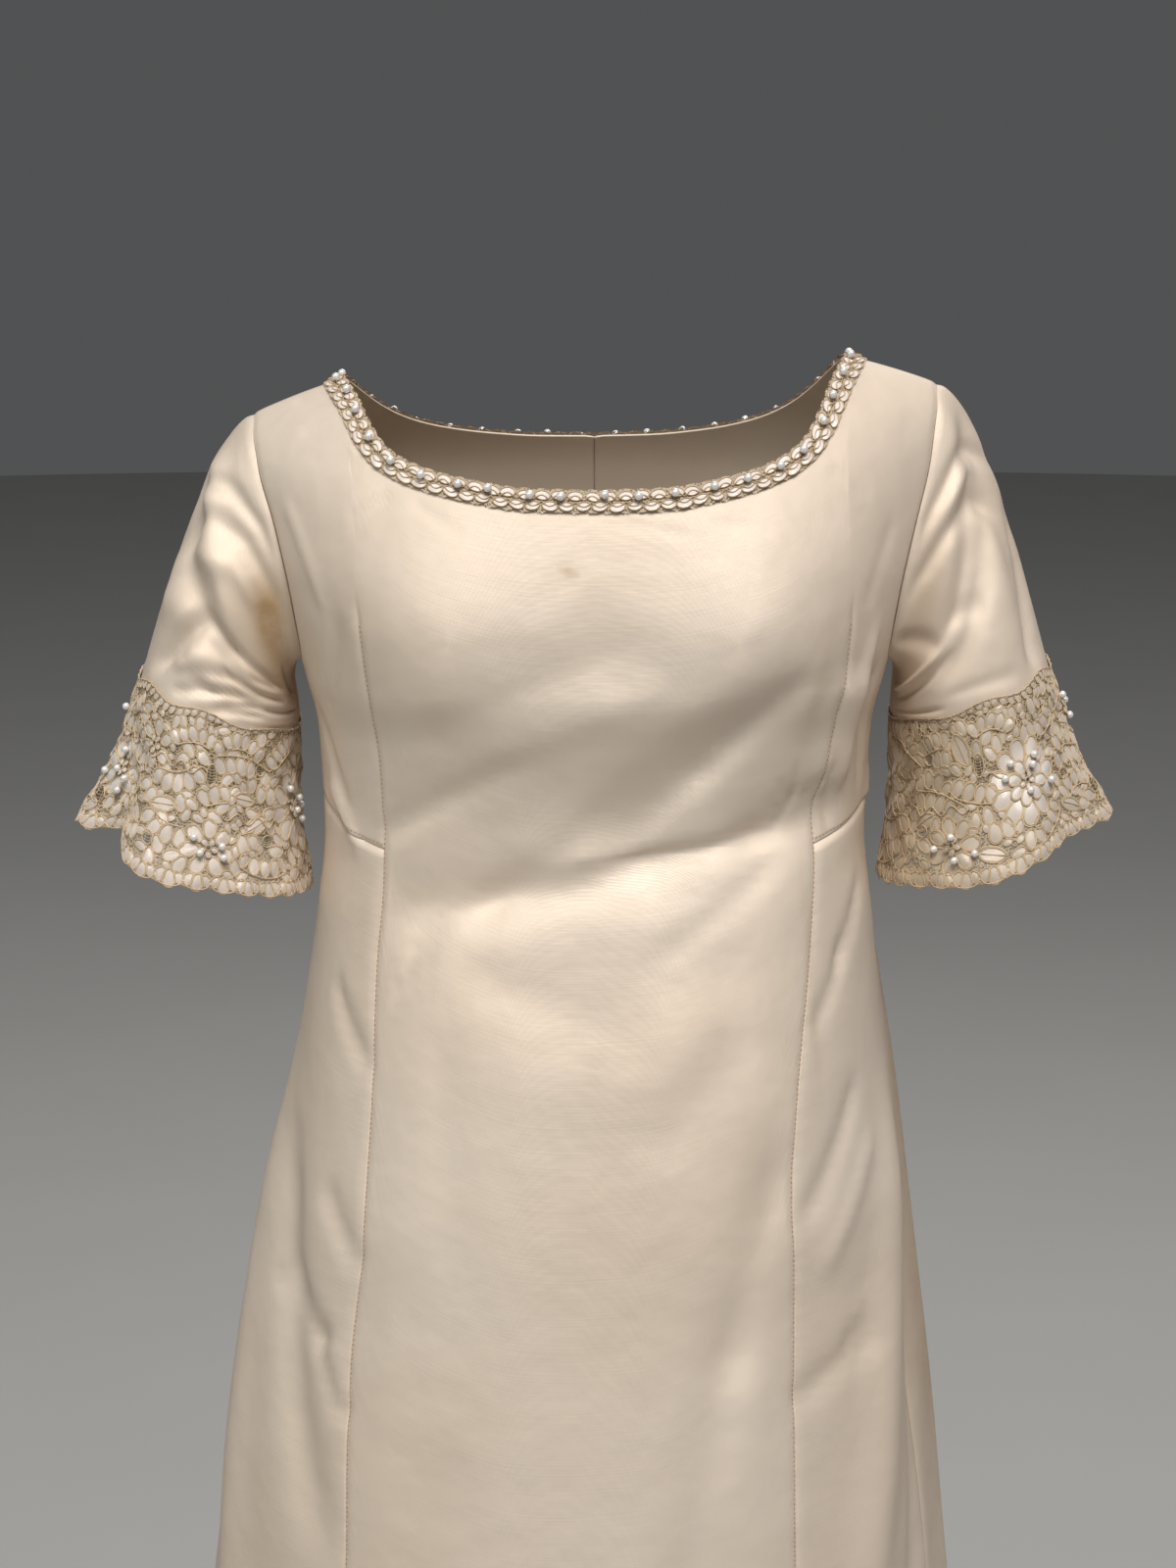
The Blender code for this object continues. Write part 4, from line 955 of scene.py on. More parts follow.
def back_creases():
    """The back and the sides have folds of the same kinds, spread by chance."""
    chance = np.random.default_rng(7)
    made = []
    for k in range(HIDDEN_CREASES):
        side = chance.choice([-1, 1])
        angle = side * chance.uniform(96, 176)
        if k < UPPER_CREASES:
            drop = chance.uniform(0.12, 0.30)
            run, fall = chance.uniform(8, 22), chance.uniform(-0.03, 0.04)
            width = chance.uniform(0.004, 0.009)
        else:
            drop = chance.uniform(0.30, 1.15)
            run, fall = chance.uniform(-9, 9), chance.uniform(0.07, 0.22)
            width = chance.uniform(0.007, 0.015)
        height = chance.choice([-1, 1]) * width * chance.uniform(0.16, 0.28)
        made.append(Drag(angle, drop, angle - side * run, drop + fall, height, width))
    return made


ALL_BODY_CREASES = BODY_CREASES + back_creases()


def body_creases(angle, drop):
    """The height of the body's creases."""
    return CREASE_DEPTH * folds_at(ALL_BODY_CREASES, DRAG_RADIUS, 1.0, angle, drop)


print(len(ALL_BODY_CREASES), "creases on the body")

# %% Age marks and painted shade of the body
Mark = namedtuple("Mark", "around down reach_around reach_down strength")
# The marks at 84 and 97 degrees are painted shade, on the left side and on the back skirt behind
# its seam.
BODY_MARKS_AND_SHADE = [Mark(*row) for row in (
    (-4, 0.096, 1, 0.0022, 0.65), (47, 0.15, 2, 0.03, 0.16), (47.5, 0.31, 1.5, 0.05, 0.18),
    (-48, 0.12, 8, 0.03, 0.07), (84, 0.33, 9, 0.12, 0.22), (97, 0.52, 13, 0.17, 0.55),
    (-88, 0.18, 8, 0.05, 0.2), (150, 0.7, 12, 0.09, 0.06), (-120, 1.3, 20, 0.06, 0.1),
    (20, 1.385, 40, 0.022, 0.14),
)]


def marks_at(table, around, down):
    return np.clip(sum(
        m.strength * np.exp(-((around - m.around) / m.reach_around) ** 2
                            - ((down - m.down) / m.reach_down) ** 2) for m in table), 0, 1)


def body_relief(seam_distance):
    """Relief for a body panel, given a function for the distance from its seams."""
    def relief(g):
        distance = seam_distance(g)
        hem = ridge(LENGTH - HEM_TURN_UP - g.b, -HEM_DIP, HEM_DIP_WIDTH)
        height = body_creases(g.a, g.b) + seam_relief(distance) + hem
        return height, {"stain": marks_at(BODY_MARKS_AND_SHADE, g.a, g.b),
                        "pucker": np.exp(-distance / PUCKER_REACH)}
    return relief


def across_from(g, lines, line):
    """How far a grid's points lie across the cloth from one of its lines."""
    return np.abs(g.across - g.across[[int(np.argmin(np.abs(lines - line)))]])


def satin_panel(name, node_name, lines, rows, place, relief, surface=worn_form,
                steps=BODY_STEPS, lift=SATIN_THICK / 2, spare=None):
    """A panel of satin, laid on the form and finished, without what isn't cloth."""
    bm = lay_cloth(lines, rows, place, surface, steps, relief, lift)
    if spare:
        cut_away(bm, spare)
    return piece_from(bm, name, (satin, satin_wrong_side), (node_name,), SATIN_THICK)


# Two of these marks are painted shade.
print(len(BODY_MARKS_AND_SHADE), "age marks on the body")

# %% The front
def skirt_rows(spacing):
    """Row numbers of the skirt at equal drops."""
    drops = np.linspace(EMPIRE_DROP, LENGTH, round((LENGTH - EMPIRE_DROP) / spacing) + 1)
    share = (drops - EMPIRE_DROP) / (LENGTH - EMPIRE_DROP)
    return EMPIRE_ROW + SKIRT_ROWS * share ** (1 / SKIRT_ROW_GROWTH)


FAR = 1.0                 # metres from any seam, where nothing pulls the cloth
FRONT_FINE, BACK_FINE = 5, 4    # grid lines to each step of the cut's tables
FRONT_SPACING, SIDE_SPACING, BACK_SPACING = 0.0050, 0.0055, 0.0080  # of the skirt's rows
TIP_ROW_HEIGHT = 0.017    # of a row above the darts' tips
FRONT_COLUMNS = 2 * (SIDE_COLUMNS + CENTRE_HALF)
FRONT_SEAMS = (SIDE_COLUMNS, FRONT_COLUMNS - SIDE_COLUMNS)
front_lines = fine_steps(0, FRONT_COLUMNS, FRONT_FINE, FRONT_SEAMS + (0, FRONT_COLUMNS))
front_rows = np.concatenate([
    fine_steps(0, EMPIRE_ROW, FRONT_FINE, (0, EMPIRE_ROW)),
    skirt_rows(FRONT_SPACING)[1:],
])


def front_distance(g):
    """Distance from the darts, the panel seams, the armholes and the side seams."""
    above_tip = np.clip(TIP_ROW - g.row, 0, None) * TIP_ROW_HEIGHT
    away = [np.hypot(across_from(g, front_lines, seam), above_tip) for seam in FRONT_SEAMS]
    away += [np.where(g.row <= EMPIRE_ROW, across_from(g, front_lines, edge), FAR)
             for edge in (0, FRONT_COLUMNS)]
    distance = np.minimum.reduce(away)
    k = int(np.argmin(np.abs(front_rows - EMPIRE_ROW)))
    outside = (g.column <= FRONT_SEAMS[0]) | (g.column >= FRONT_SEAMS[1])
    return np.where(outside, np.minimum(distance, np.abs(g.down - g.down[:, [k]])), distance)


front = satin_panel("satin_front", "front", front_lines, front_rows, front_place,
                    body_relief(front_distance), spare=lambda column, row: row > EMPIRE_ROW
                    and not FRONT_SEAMS[0] < column < FRONT_SEAMS[1])

# %% The side-front panels
def edge_distance(lines, last, top=True):
    """Distance from the two long edges of a panel, and from its top or its bottom seam."""
    def distance(g):
        away = np.minimum(*(across_from(g, lines, edge) for edge in (0, last)))
        return np.minimum(away, g.down if top else g.down[:, [-1]] - g.down)
    return distance


side_fronts = {}
for word, hand in (("right", -1), ("left", 1)):
    def side_front_place(column, row, hand=hand):
        drop = row_drop(row)
        inner = seam_angle(hand, drop)
        return inner + (edge_angle(hand, row) - inner) * column / SIDE_COLUMNS, drop

    lines = fine_steps(0, SIDE_COLUMNS, FRONT_FINE, (0, SIDE_COLUMNS), (0.07, 0.18))
    side_fronts[word] = satin_panel(
        "satin_side_front_" + word, "side_front_" + word, lines, skirt_rows(SIDE_SPACING),
        side_front_place, body_relief(edge_distance(lines, SIDE_COLUMNS)))

# %% The back
back_bodices = {}
back_skirts = {}
for word, hand in (("right", -1), ("left", 1)):
    def skirt_place(column, row, hand=hand):
        edge = 180 - np.abs(edge_angle(hand, row))
        return hand * (180 - edge * column / BACK_SKIRT_COLUMNS), row_drop(row)

    last = CENTRE_HALF + BACK_SIDE_COLUMNS
    lines = fine_steps(0, last, BACK_FINE, (0, last))
    back_bodices[word] = satin_panel(
        "satin_back_bodice_" + word, "back_bodice_" + word, lines,
        fine_steps(0, EMPIRE_ROW, BACK_FINE, (0, EMPIRE_ROW)),
        lambda column, row, hand=hand: back_place(hand, column, row),
        body_relief(edge_distance(lines, last, top=False)))
    lines = fine_steps(0, BACK_SKIRT_COLUMNS, BACK_FINE, (0, BACK_SKIRT_COLUMNS))
    back_skirts[word] = satin_panel(
        "satin_back_skirt_" + word, "back_skirt_" + word, lines, skirt_rows(BACK_SPACING),
        skirt_place, body_relief(edge_distance(lines, BACK_SKIRT_COLUMNS)))

# %% [markdown]
# ## Sleeves
# A set-in sleeve is one piece of cloth sewn into a tube under the arm. Its cap is cut wider
# than the armhole, so folds run from the outer shoulder down to the underarm, and above the
# cuff the satin crumples where the stiff lace holds it. The tan patch under the right arm
# and the yellowing at the front of the left one are marks of wear.

# %% Creases and marks of the sleeves
RIGHT_SLEEVE_CREASES = [SleeveFold(*row) for row in (
    (10, 0.33, 86, 0.06, -0.0018, 0.0055), (2, 0.52, 104, 0.1, -0.0018, 0.006),
    (20, 0.58, 96, 0.28, 0.0016, 0.006), (36, 0.88, 72, 0.62, -0.0022, 0.0055),
    (72, 0.62, 150, 0.52, -0.0018, 0.006), (64, 0.76, 104, 0.66, 0.0016, 0.0045),
    (74, 0.86, 112, 0.78, -0.0015, 0.0035), (112, 0.72, 150, 0.66, -0.0015, 0.004),
    (92, 0.91, 128, 0.86, -0.0013, 0.0032), (130, 0.8, 172, 0.76, -0.0014, 0.0036),
    (108, 0.96, 170, 0.93, -0.0009, 0.003), (84, 0.81, 120, 0.72, 0.0013, 0.0035),
    (150, 0.3, 176, 0.6, -0.0014, 0.006), (200, 0.66, 262, 0.58, -0.0014, 0.005),
    (214, 0.82, 268, 0.78, -0.0013, 0.0036), (250, 0.3, 330, 0.52, -0.0015, 0.006),
    (280, 0.74, 340, 0.86, -0.0014, 0.0045), (44, 0.86, 66, 0.62, -0.0016, 0.0048),
    (66, 0.6, 106, 0.56, -0.0014, 0.0042), (62, 0.92, 96, 0.83, -0.0013, 0.003),
    (58, 0.82, 92, 0.72, 0.0012, 0.003), (98, 0.88, 126, 0.8, -0.0013, 0.0028),
    (78, 0.96, 108, 0.91, -0.0011, 0.0026), (116, 0.64, 140, 0.58, -0.0012, 0.0032),
)]
LEFT_SLEEVE_CREASES = [SleeveFold(*row) for row in (
    (2, 0.35, 80, 0.05, -0.0018, 0.0055), (28, 0.44, 102, 0.08, -0.0018, 0.0055),
    (26, 0.3, 66, 0.16, 0.0014, 0.0045), (4, 0.5, 40, 0.9, -0.002, 0.006),
    (110, 0.53, 136, 0.06, -0.002, 0.006), (110, 0.52, 168, 0.58, 0.002, 0.0045),
    (104, 0.6, 160, 0.7, -0.0014, 0.005), (70, 0.6, 98, 0.44, -0.001, 0.006),
    (60, 0.9, 110, 0.82, -0.0007, 0.005), (120, 0.9, 168, 0.86, -0.0012, 0.0036),
    (200, 0.62, 256, 0.56, -0.0014, 0.005), (216, 0.84, 272, 0.78, -0.0013, 0.0036),
    (246, 0.28, 330, 0.5, -0.0015, 0.006), (286, 0.7, 344, 0.84, -0.0013, 0.0045),
)]
# Both sleeves also turn darker round their inner side towards the body, at 136 and 178 degrees.
RIGHT_SLEEVE_MARKS = [Mark(*row) for row in (
    (112, 0.2, 17, 0.17, 1), (136, 0.34, 30, 0.24, 0.6), (178, 0.4, 30, 0.35, 0.4),
    (96, 0.7, 40, 0.25, 0.1),
)]
LEFT_SLEEVE_MARKS = [Mark(*row) for row in (
    (84, 0.14, 14, 0.1, 0.2), (104, 0.22, 22, 0.16, 0.26), (136, 0.3, 30, 0.3, 0.34),
    (178, 0.4, 30, 0.35, 0.36),
)]
SLEEVE_COLUMNS = 2 * ARMHOLE_ROWS
SLEEVE_CREASE_DEPTH = 1.5  # all creases of the sleeves are this much deeper than listed
CREASE_END = 0.97         # they stop this far down the sleeve
CREASE_FADES = (0.05, 0.07)  # and fade out at the armhole and at that end
CAP_PUCKER_REACH = 0.014  # how far from the armhole its puckers reach


def sleeve_turn(column):
    """Degrees of a sleeve's column, from the underarm to the underarm."""
    return (column / SLEEVE_COLUMNS - 0.5) * 360


def sleeve_relief(side, creases, marks):
    """Creases need the degrees round the sleeve, so the columns give them directly."""
    def relief(g):
        around = turn_of(side, sleeve_turn(g.column)) % 360
        height = SLEEVE_CREASE_DEPTH * folds_at(creases, SLEEVE_RADIUS, SLEEVE_FALL, around, g.b)
        height = height * np.clip(g.b / CREASE_FADES[0], 0, 1)
        height = height * np.clip((CREASE_END - g.b) / CREASE_FADES[1], 0, 1)
        seam = np.minimum(*(np.abs(g.across - g.across[[edge]]) for edge in (0, -1)))
        height = height + seam_relief(np.minimum(seam, g.down))
        return height, {"stain": marks_at(marks, around, g.b),
                        "pucker": np.exp(-g.down / CAP_PUCKER_REACH)}
    return relief


sleeves = {}
for word, hand, folds, creases, marks in (
        ("right", -1, RIGHT_SLEEVE_FOLDS, RIGHT_SLEEVE_CREASES, RIGHT_SLEEVE_MARKS),
        ("left", 1, LEFT_SLEEVE_FOLDS, LEFT_SLEEVE_CREASES, LEFT_SLEEVE_MARKS)):
    sleeves[word] = satin_panel(
        "satin_sleeve_" + word, "sleeve_" + word,
        fine_steps(0, SLEEVE_COLUMNS, 6, (0, SLEEVE_COLUMNS), (0.1, 0.25)),
        fine_steps(0, SLEEVE_ROWS, 7, (0,), (0.05, 0.1)),
        lambda column, row: (sleeve_turn(column), row / SLEEVE_ROWS),
        sleeve_relief(hand, creases, marks), sleeve_form(hand, folds), SLEEVE_STEPS)

# %% [markdown]
# ## The lap over the zip
# The centre-back opening is closed by a zip under a narrow lap of satin, folded at its free
# edge and stitched down at the other. It is a flat strip laid on the panels.

# %% Placket
PLACKET_WIDTH = 0.018
PLACKET_TOP_ROW = 2.5
PLACKET_ROWS = 18
PLACKET_COLUMNS = 2
PLACKET_SHIFT = 0.004     # how far it lies to the left of the centre back
PLACKET_LIFT = 0.0024


def placket_place(column, row):
    top = PLACKET_TOP_ROW + (np.floor(PLACKET_TOP_ROW) + 1 - PLACKET_TOP_ROW) * row
    panel_row = np.where(row < 1, top, np.floor(PLACKET_TOP_ROW) + row)
    _, drop = back_place(1, np.zeros_like(row), panel_row)
    out = (column / PLACKET_COLUMNS - 0.5) * PLACKET_WIDTH + PLACKET_SHIFT
    return 180 + np.degrees(out / form["half_width"](drop)), drop


def placket_relief(g):
    """Its folded edge and its stitched edge lie lower, and it waves a little."""
    share = g.column / PLACKET_COLUMNS
    fold = ridge(share, -0.0009, 0.05) + ridge(1 - share, -0.0012, 0.06)
    wave = 0.0004 * np.sin(g.down / 0.021 + 2 * np.sin(g.down / 0.05))
    edge = np.minimum(share, 1 - share) * PLACKET_WIDTH
    return fold + wave, {"stain": marks_at(BODY_MARKS_AND_SHADE, g.a, g.b), "pucker": np.exp(-edge / 0.006)}


placket = satin_panel("satin_back_lap", "back_placket", np.linspace(0, PLACKET_COLUMNS, 13),
                      fine_steps(0, PLACKET_ROWS, 6), placket_place, placket_relief,
                      lift=PLACKET_LIFT)

# %% [markdown]
# ## Petals, rings and leaves of corded lace
# All the lace is made of a few shapes at real size. Each starts from Blender's own circle
# or from a circle spun into a ring, is pushed into an outline, and is then copied hundreds
# of times on the flat lace. Only then is the whole flat lace bent round the arm or along
# the neckline, as real lace is. So each shape has only a few dozen faces.

# %% Outlines
CORD_RADIUS = 0.00034
FILL_CROWN = 0.00050
SPIN_RADIUS = 10          # of the ring that a cord starts as, in its own radii
Outline = namedtuple("Outline", "width length waist point segments")
OUTLINES = {
    "petal": Outline(0.0092, 0.0112, 0.30, 0.00, 14),
    "oval": Outline(0.0060, 0.0080, 0.10, 0.12, 14),
    "leaf": Outline(0.0070, 0.0140, 0.10, 0.45, 16),
    "bud": Outline(0.0052, 0.0058, 0.20, 0.00, 10),
    "ring": Outline(0.0036, 0.0036, 0.00, 0.00, 10),
}


def outline_at(turn, o):
    """A point of an outline: narrow at its foot, round or pointed at its tip."""
    x, y = np.sin(turn), np.cos(turn)
    narrow = 1 - o.waist * (1 - y) / 2
    sharp = np.abs(x) ** (1 + o.point * np.clip(np.abs(y), 0, 1)) * np.sign(x)
    return np.stack([sharp * narrow * o.width / 2, y * o.length / 2], axis=-1)


def outward_at(turn, o):
    """The way out of an outline, square to it."""
    along = unit(outline_at(turn + 0.05, o) - outline_at(turn - 0.05, o))
    return np.stack([-along[..., 1], along[..., 0]], axis=-1)


def fill_mesh(kind):
    """A crowned pad of satin stitch, from a filled circle."""
    o = OUTLINES[kind]
    bm = bmesh.new()
    bmesh.ops.create_circle(bm, cap_ends=True, cap_tris=True, segments=o.segments, radius=1)
    spokes = [e for e in bm.edges if min(v.co.length for v in e.verts) < 0.5]
    bmesh.ops.subdivide_edges(bm, edges=spokes, cuts=1)
    stitch = bm.loops.layers.uv.new("stitch")
    for face in bm.faces:
        for loop in face.loops:
            place = loop.vert.co
            loop[stitch].uv = outline_at(np.arctan2(place.x, place.y), o) * place.length
    for vert in bm.verts:
        reach = vert.co.length
        x, y = outline_at(np.arctan2(vert.co.x, vert.co.y), o) * min(reach, 1.0)
        vert.co = (x, y, FILL_CROWN * (1 - reach ** 2) - 0.0001)
    bmesh.ops.recalc_face_normals(bm, faces=bm.faces[:])
    if sum(face.normal.z for face in bm.faces) < 0:
        bmesh.ops.reverse_faces(bm, faces=bm.faces[:])
    return mesh_from(bm, kind + "_fill")


def cord_mesh(kind):
    """A cord round an outline: a small circle spun into a ring and pushed into shape."""
    o = OUTLINES[kind]
    bm = bmesh.new()
    start = Matrix.Translation((SPIN_RADIUS, 0, 0)) @ Matrix.Rotation(pi / 2, 4, "X")
    bmesh.ops.create_circle(bm, segments=4, radius=1, matrix=start)
    bmesh.ops.spin(bm, geom=bm.verts[:] + bm.edges[:], cent=(0, 0, 0), axis=(0, 0, 1),
                   angle=2 * pi, steps=o.segments, use_merge=True)
    for vert in bm.verts:
        turn = np.arctan2(vert.co.x, vert.co.y)
        out = (np.hypot(vert.co.x, vert.co.y) - SPIN_RADIUS) * CORD_RADIUS
        x, y = outline_at(turn, o) + outward_at(turn, o) * out
        vert.co = (x, y, vert.co.z * CORD_RADIUS + CORD_RADIUS * 0.6)
    bmesh.ops.recalc_face_normals(bm, faces=bm.faces[:])
    return mesh_from(bm, kind + "_cord")


fills = {kind: fill_mesh(kind) for kind in OUTLINES if kind != "ring"}
cords = {kind: cord_mesh(kind) for kind in OUTLINES}
print({kind: (len(fills[kind].polygons) if kind in fills else 0, len(cords[kind].polygons))
       for kind in OUTLINES})

# %% A flat piece of lace
def stamp_mesh(bm, mesh, matrix):
    """Add a turned and moved copy of a small mesh."""
    copy = mesh.copy()
    copy.transform(matrix)
    bm.from_mesh(copy)
    bpy.data.meshes.remove(copy)


DOUBLE_CORD = Matrix.Rotation(0.06, 4, "Z") @ Matrix.Diagonal((1.17, 1.13, 0.7, 1.0))


class FlatLace:
    """Collects shapes on the flat lace: fills, cords and pearls, in metres."""

    def __init__(self, round_length=None, doubled=False):
        self.doubled = doubled
        self.fill = bmesh.new()
        self.cord = bmesh.new()
        self.taken = []
        self.table = ()
        self.round_length = round_length

    def add(self, kind, x, y, turn=0.0, size=1.0, high=0.0, wide=1.0, skew=0.0):
        """One shape with its middle at x, y; turn 0 points its tip up the sleeve."""
        lean = Matrix.Identity(4)
        lean[0][1] = skew
        matrix = (Matrix.Translation((x, -y, high)) @ Matrix.Rotation(-np.radians(turn), 4, "Z")
                  @ lean @ Matrix.Diagonal((size * wide, size, 1.0, 1.0)))
        if kind in fills:
            stamp_mesh(self.fill, fills[kind], matrix)
        stamp_mesh(self.cord, cords[kind], matrix)
        if self.doubled and kind in ("petal", "leaf"):
            stamp_mesh(self.cord, cords[kind], matrix @ DOUBLE_CORD)
        o = OUTLINES[kind]
        self.taken.append((x, y, turn, o.width / 2 * size * wide, o.length / 2 * size))

    def clear_of(self, x, y, reach, slack=0.0):
        """Whether a round place of this reach is free of every shape so far."""
        if not self.taken:
            return True
        if len(self.table) != len(self.taken):
            self.table = np.array(self.taken)
        taken = self.table
        dx = taken[:, 0] - x
        if self.round_length:
            dx = (dx + self.round_length / 2) % self.round_length - self.round_length / 2
        dy = taken[:, 1] - y
        turn = np.radians(taken[:, 2])
        side = dx * np.cos(turn) + dy * np.sin(turn)
        ahead = -dx * np.sin(turn) + dy * np.cos(turn)
        near = np.hypot(side / (taken[:, 3] + reach), ahead / (taken[:, 4] + reach))
        return bool(near.min() > 1 - slack)

    def fits(self, kind, x, y, turn, size, wide=1.0, slack=0.0):
        """Whether a shape is free of the others, tried at three places along it."""
        o = OUTLINES[kind]
        reach = o.width / 2 * size * wide * 0.86
        half = max(o.length / 2 * size - reach, 0)
        lean = np.radians(turn)
        return all(self.clear_of(x + t * half * np.sin(lean), y - t * half * np.cos(lean), reach,
                                 slack) for t in (-1, 0, 1))


def tube(bm, points, radius=CORD_RADIUS):
    """A cord along flat points, as a round-bevelled curve made into a mesh."""
    curve = bpy.data.curves.new("cord_path", "CURVE")
    curve.dimensions = "3D"
    curve.bevel_depth = radius
    curve.bevel_resolution = 0
    curve.use_fill_caps = True
    spline = curve.splines.new("POLY")
    spline.points.add(len(points) - 1)
    for spot, (x, y, z) in zip(spline.points, points):
        spot.co = (x, -y, z, 1)
    holder = bpy.data.objects.new("cord_path", curve)
    mesh = bpy.data.meshes.new_from_object(holder)
    bm.from_mesh(mesh)
    bpy.data.objects.remove(holder)
    bpy.data.curves.remove(curve)
    bpy.data.meshes.remove(mesh)


print("flat lace collects shapes before it is bent")

# %% [markdown]
# ## The lace cuffs
# Each sleeve ends in a flounce of corded lace: flowers and leaves in the middle, a row of
# buds along the top edge where it overlaps the satin, and scallops of small petals at the
# hem. The free places are filled with smaller petals and rings, by trying places in turn
# and keeping each that is clear of its neighbours. The largest gaps are really open.

# %% Where things lie on a cuff
CUFF_ROUND = 0.364        # round the middle of the flounce
LACE_LIFT = 0.0021        # the net's height over the satin's middle
BAR_RADIUS = 0.00016      # of the thin threads that cross a gap
TOP_BUDS = 66
FILL_TRIES = 5200
Flower = namedtuple("Flower", "around down petals reach size start")
Leaf = namedtuple("Leaf", "around down turn size")
RIGHT_FLOWERS = [Flower(*row) for row in (
    (26, 0.56, 8, 0.012, 1.04, 10), (100, 0.78, 7, 0.0098, 0.88, 0),
    (161, 0.5, 9, 0.0138, 1.14, 20), (58, 0.24, 6, 0.009, 0.84, 0),
    (218, 0.62, 8, 0.0118, 1.02, 0), (272, 0.34, 7, 0.0102, 0.92, 12),
    (326, 0.7, 7, 0.0098, 0.88, 0),
)]
LEFT_FLOWERS = [Flower(*row) for row in (
    (70, 0.52, 11, 0.017, 1.16, 8), (14, 0.24, 6, 0.009, 0.84, 0),
    (116, 0.79, 7, 0.0098, 0.88, 15), (176, 0.42, 8, 0.0118, 1.02, 0),
    (232, 0.64, 8, 0.0118, 1.02, 10), (290, 0.36, 7, 0.0102, 0.92, 0),
    (338, 0.72, 7, 0.0098, 0.88, 12),
)]
RIGHT_LEAVES = [Leaf(*row) for row in (
    (128, 0.6, 58, 1.15), (120, 0.44, 96, 1), (72, 0.58, 78, 1.1), (188, 0.78, 140, 1),
    (244, 0.44, 25, 1), (300, 0.58, 150, 1), (352, 0.42, 40, 1),
)]
LEFT_LEAVES = [Leaf(*row) for row in (
    (108, 0.2, 20, 1.35), (96, 0.88, 70, 1), (134, 0.64, 118, 1.1), (40, 0.84, 60, 1),
    (204, 0.76, 35, 1), (260, 0.5, 150, 1), (314, 0.52, 40, 1),
)]
GARLAND_PITCH = 0.0077    # between the petals of a garland
Level = namedtuple("Level", "down facing count size")
GARLAND_LEVELS = [Level(*row) for row in (
    (0.16, 0, 5, 0.8), (0.31, 180, 6, 0.88), (0.47, 0, 5, 0.86), (0.63, 180, 6, 0.9),
    (0.79, 0, 5, 0.84),
)]
print(len(RIGHT_FLOWERS), "and", len(LEFT_FLOWERS), "flowers on the cuffs")

# %% Motifs
def add_flower(lace, x, y, count, reach, size, start):
    """Petals round a smaller ring of petals or buds, with a ring in the middle."""
    def ring_of(kind, number, away, scale, first, high, wide):
        for k in range(number):
            turn = first + 360 * k / number
            lean = np.radians(turn)
            lace.add(kind, x + away * np.sin(lean), y - away * np.cos(lean), turn, scale, high,
                     wide)

    ring_of("petal", count, reach, size, start, 0.0, 0.98)
    if reach > 0.015:
        ring_of("petal", 8, 0.0086, 0.76, start + 18, 0.0007, 0.98)
    ring_of("bud", 5, 0.0034, 0.64, start + 30, 0.0011, 1.0)
    lace.add("ring", x, y, 0.0, 0.8, 0.0013)


def add_garland(lace, x, y, heading, bow, facing, count, size, chance):
    """Petals side by side along a bowed vein, where there is room for them."""
    step = GARLAND_PITCH * size
    line = heading - bow / 2
    row, vein = [], []
    for k in range(count):
        x, y = x + step * np.cos(np.radians(line)), y + step * np.sin(np.radians(line))
        turn = line + facing
        grown = size * chance.uniform(0.93, 1.07)
        if lace.fits("petal", x, y, turn, grown, 0.90, 0.26):
            row.append((x, y, turn, grown))
            lean = np.radians(turn)
            foot = 0.0058 * size
            vein.append((x - foot * np.sin(lean), y + foot * np.cos(lean), 0.0006))
        line += bow / count
    for x, y, turn, grown in row:
        lace.add("petal", x, y, turn, grown, 0.0, 0.90, chance.uniform(-0.14, 0.14))
    if len(vein) > 2:
        tube(lace.cord, vein)
    return len(row)


def add_leaf(lace, x, y, turn, size):
    """A pointed leaf with its midrib."""
    lace.add("leaf", x, y, turn, size)
    lean = np.radians(turn)
    rib = [(x + t * np.sin(lean), y - t * np.cos(lean), 0.0006 - 4.0 * t * t)
           for t in np.linspace(-0.0065, 0.0060, 6) * size]
    tube(lace.cord, rib, CORD_RADIUS * 0.85)


def add_vine(lace, x, y, length, waves, swing, lean):
    """A cord that winds between the flowers."""
    path = [(x + length * t, y + lean * t + swing * np.sin(2 * pi * waves * t), 0.0007)
            for t in np.linspace(0, 1, 14 * waves + 1)]
    tube(lace.cord, path)


def fill_up(lace, seed, inside, tries):
    """Drop smaller shapes into the free places, larger ones first."""
    chance = np.random.default_rng(seed)
    counts = {}
    for kind, size, share in (("petal", 0.80, 0.22), ("petal", 0.60, 0.28), ("bud", 0.90, 0.28),
                              ("ring", 0.90, 0.22)):
        for _ in range(int(tries * share)):
            x, y = inside(chance)
            turn = chance.uniform(0, 360)
            grown = size * chance.uniform(0.88, 1.12)
            if lace.fits(kind, x, y, turn, grown, 0.9, 0.20):
                lace.add(kind, x, y, turn, grown, 0.0, 0.9, chance.uniform(-0.2, 0.2))
                counts[kind] = counts.get(kind, 0) + 1
    return counts


print("motifs: flower, garland, leaf, vine")

# %% The edges of a cuff
def top_edge(around):
    """The net's upper edge, in metres below the satin's end."""
    return TOP_WAVE * np.sin(np.radians(around * TOP_WAVES)) - CUFF_OVERLAP


def hem_edge(around):
    """Its scalloped lower edge."""
    phase = (around / 180 * SCALLOPS) % 1.0
    return CUFF_LENGTH + SCALLOP_DEPTH * np.sqrt(np.clip(1 - (2 * phase - 1) ** 2, 0, 1))


def along_of(around):
    return np.asarray(around) / 360 * CUFF_ROUND


def cuff_places(side):
    """From flat metres to the turn and the share down of the cuff's form."""
    def place(along, down):
        return turn_of(side, along / CUFF_ROUND * 360), down / CUFF_LENGTH
    return place


print("the hem has", 2 * SCALLOPS, "scallops")

# %% How the lace lies, how aged it is, and its painted shade
LACE_RIPPLE = 0.0010      # the lace never lies quite smooth
ON_NET = 0.0003           # the shapes' height over the net


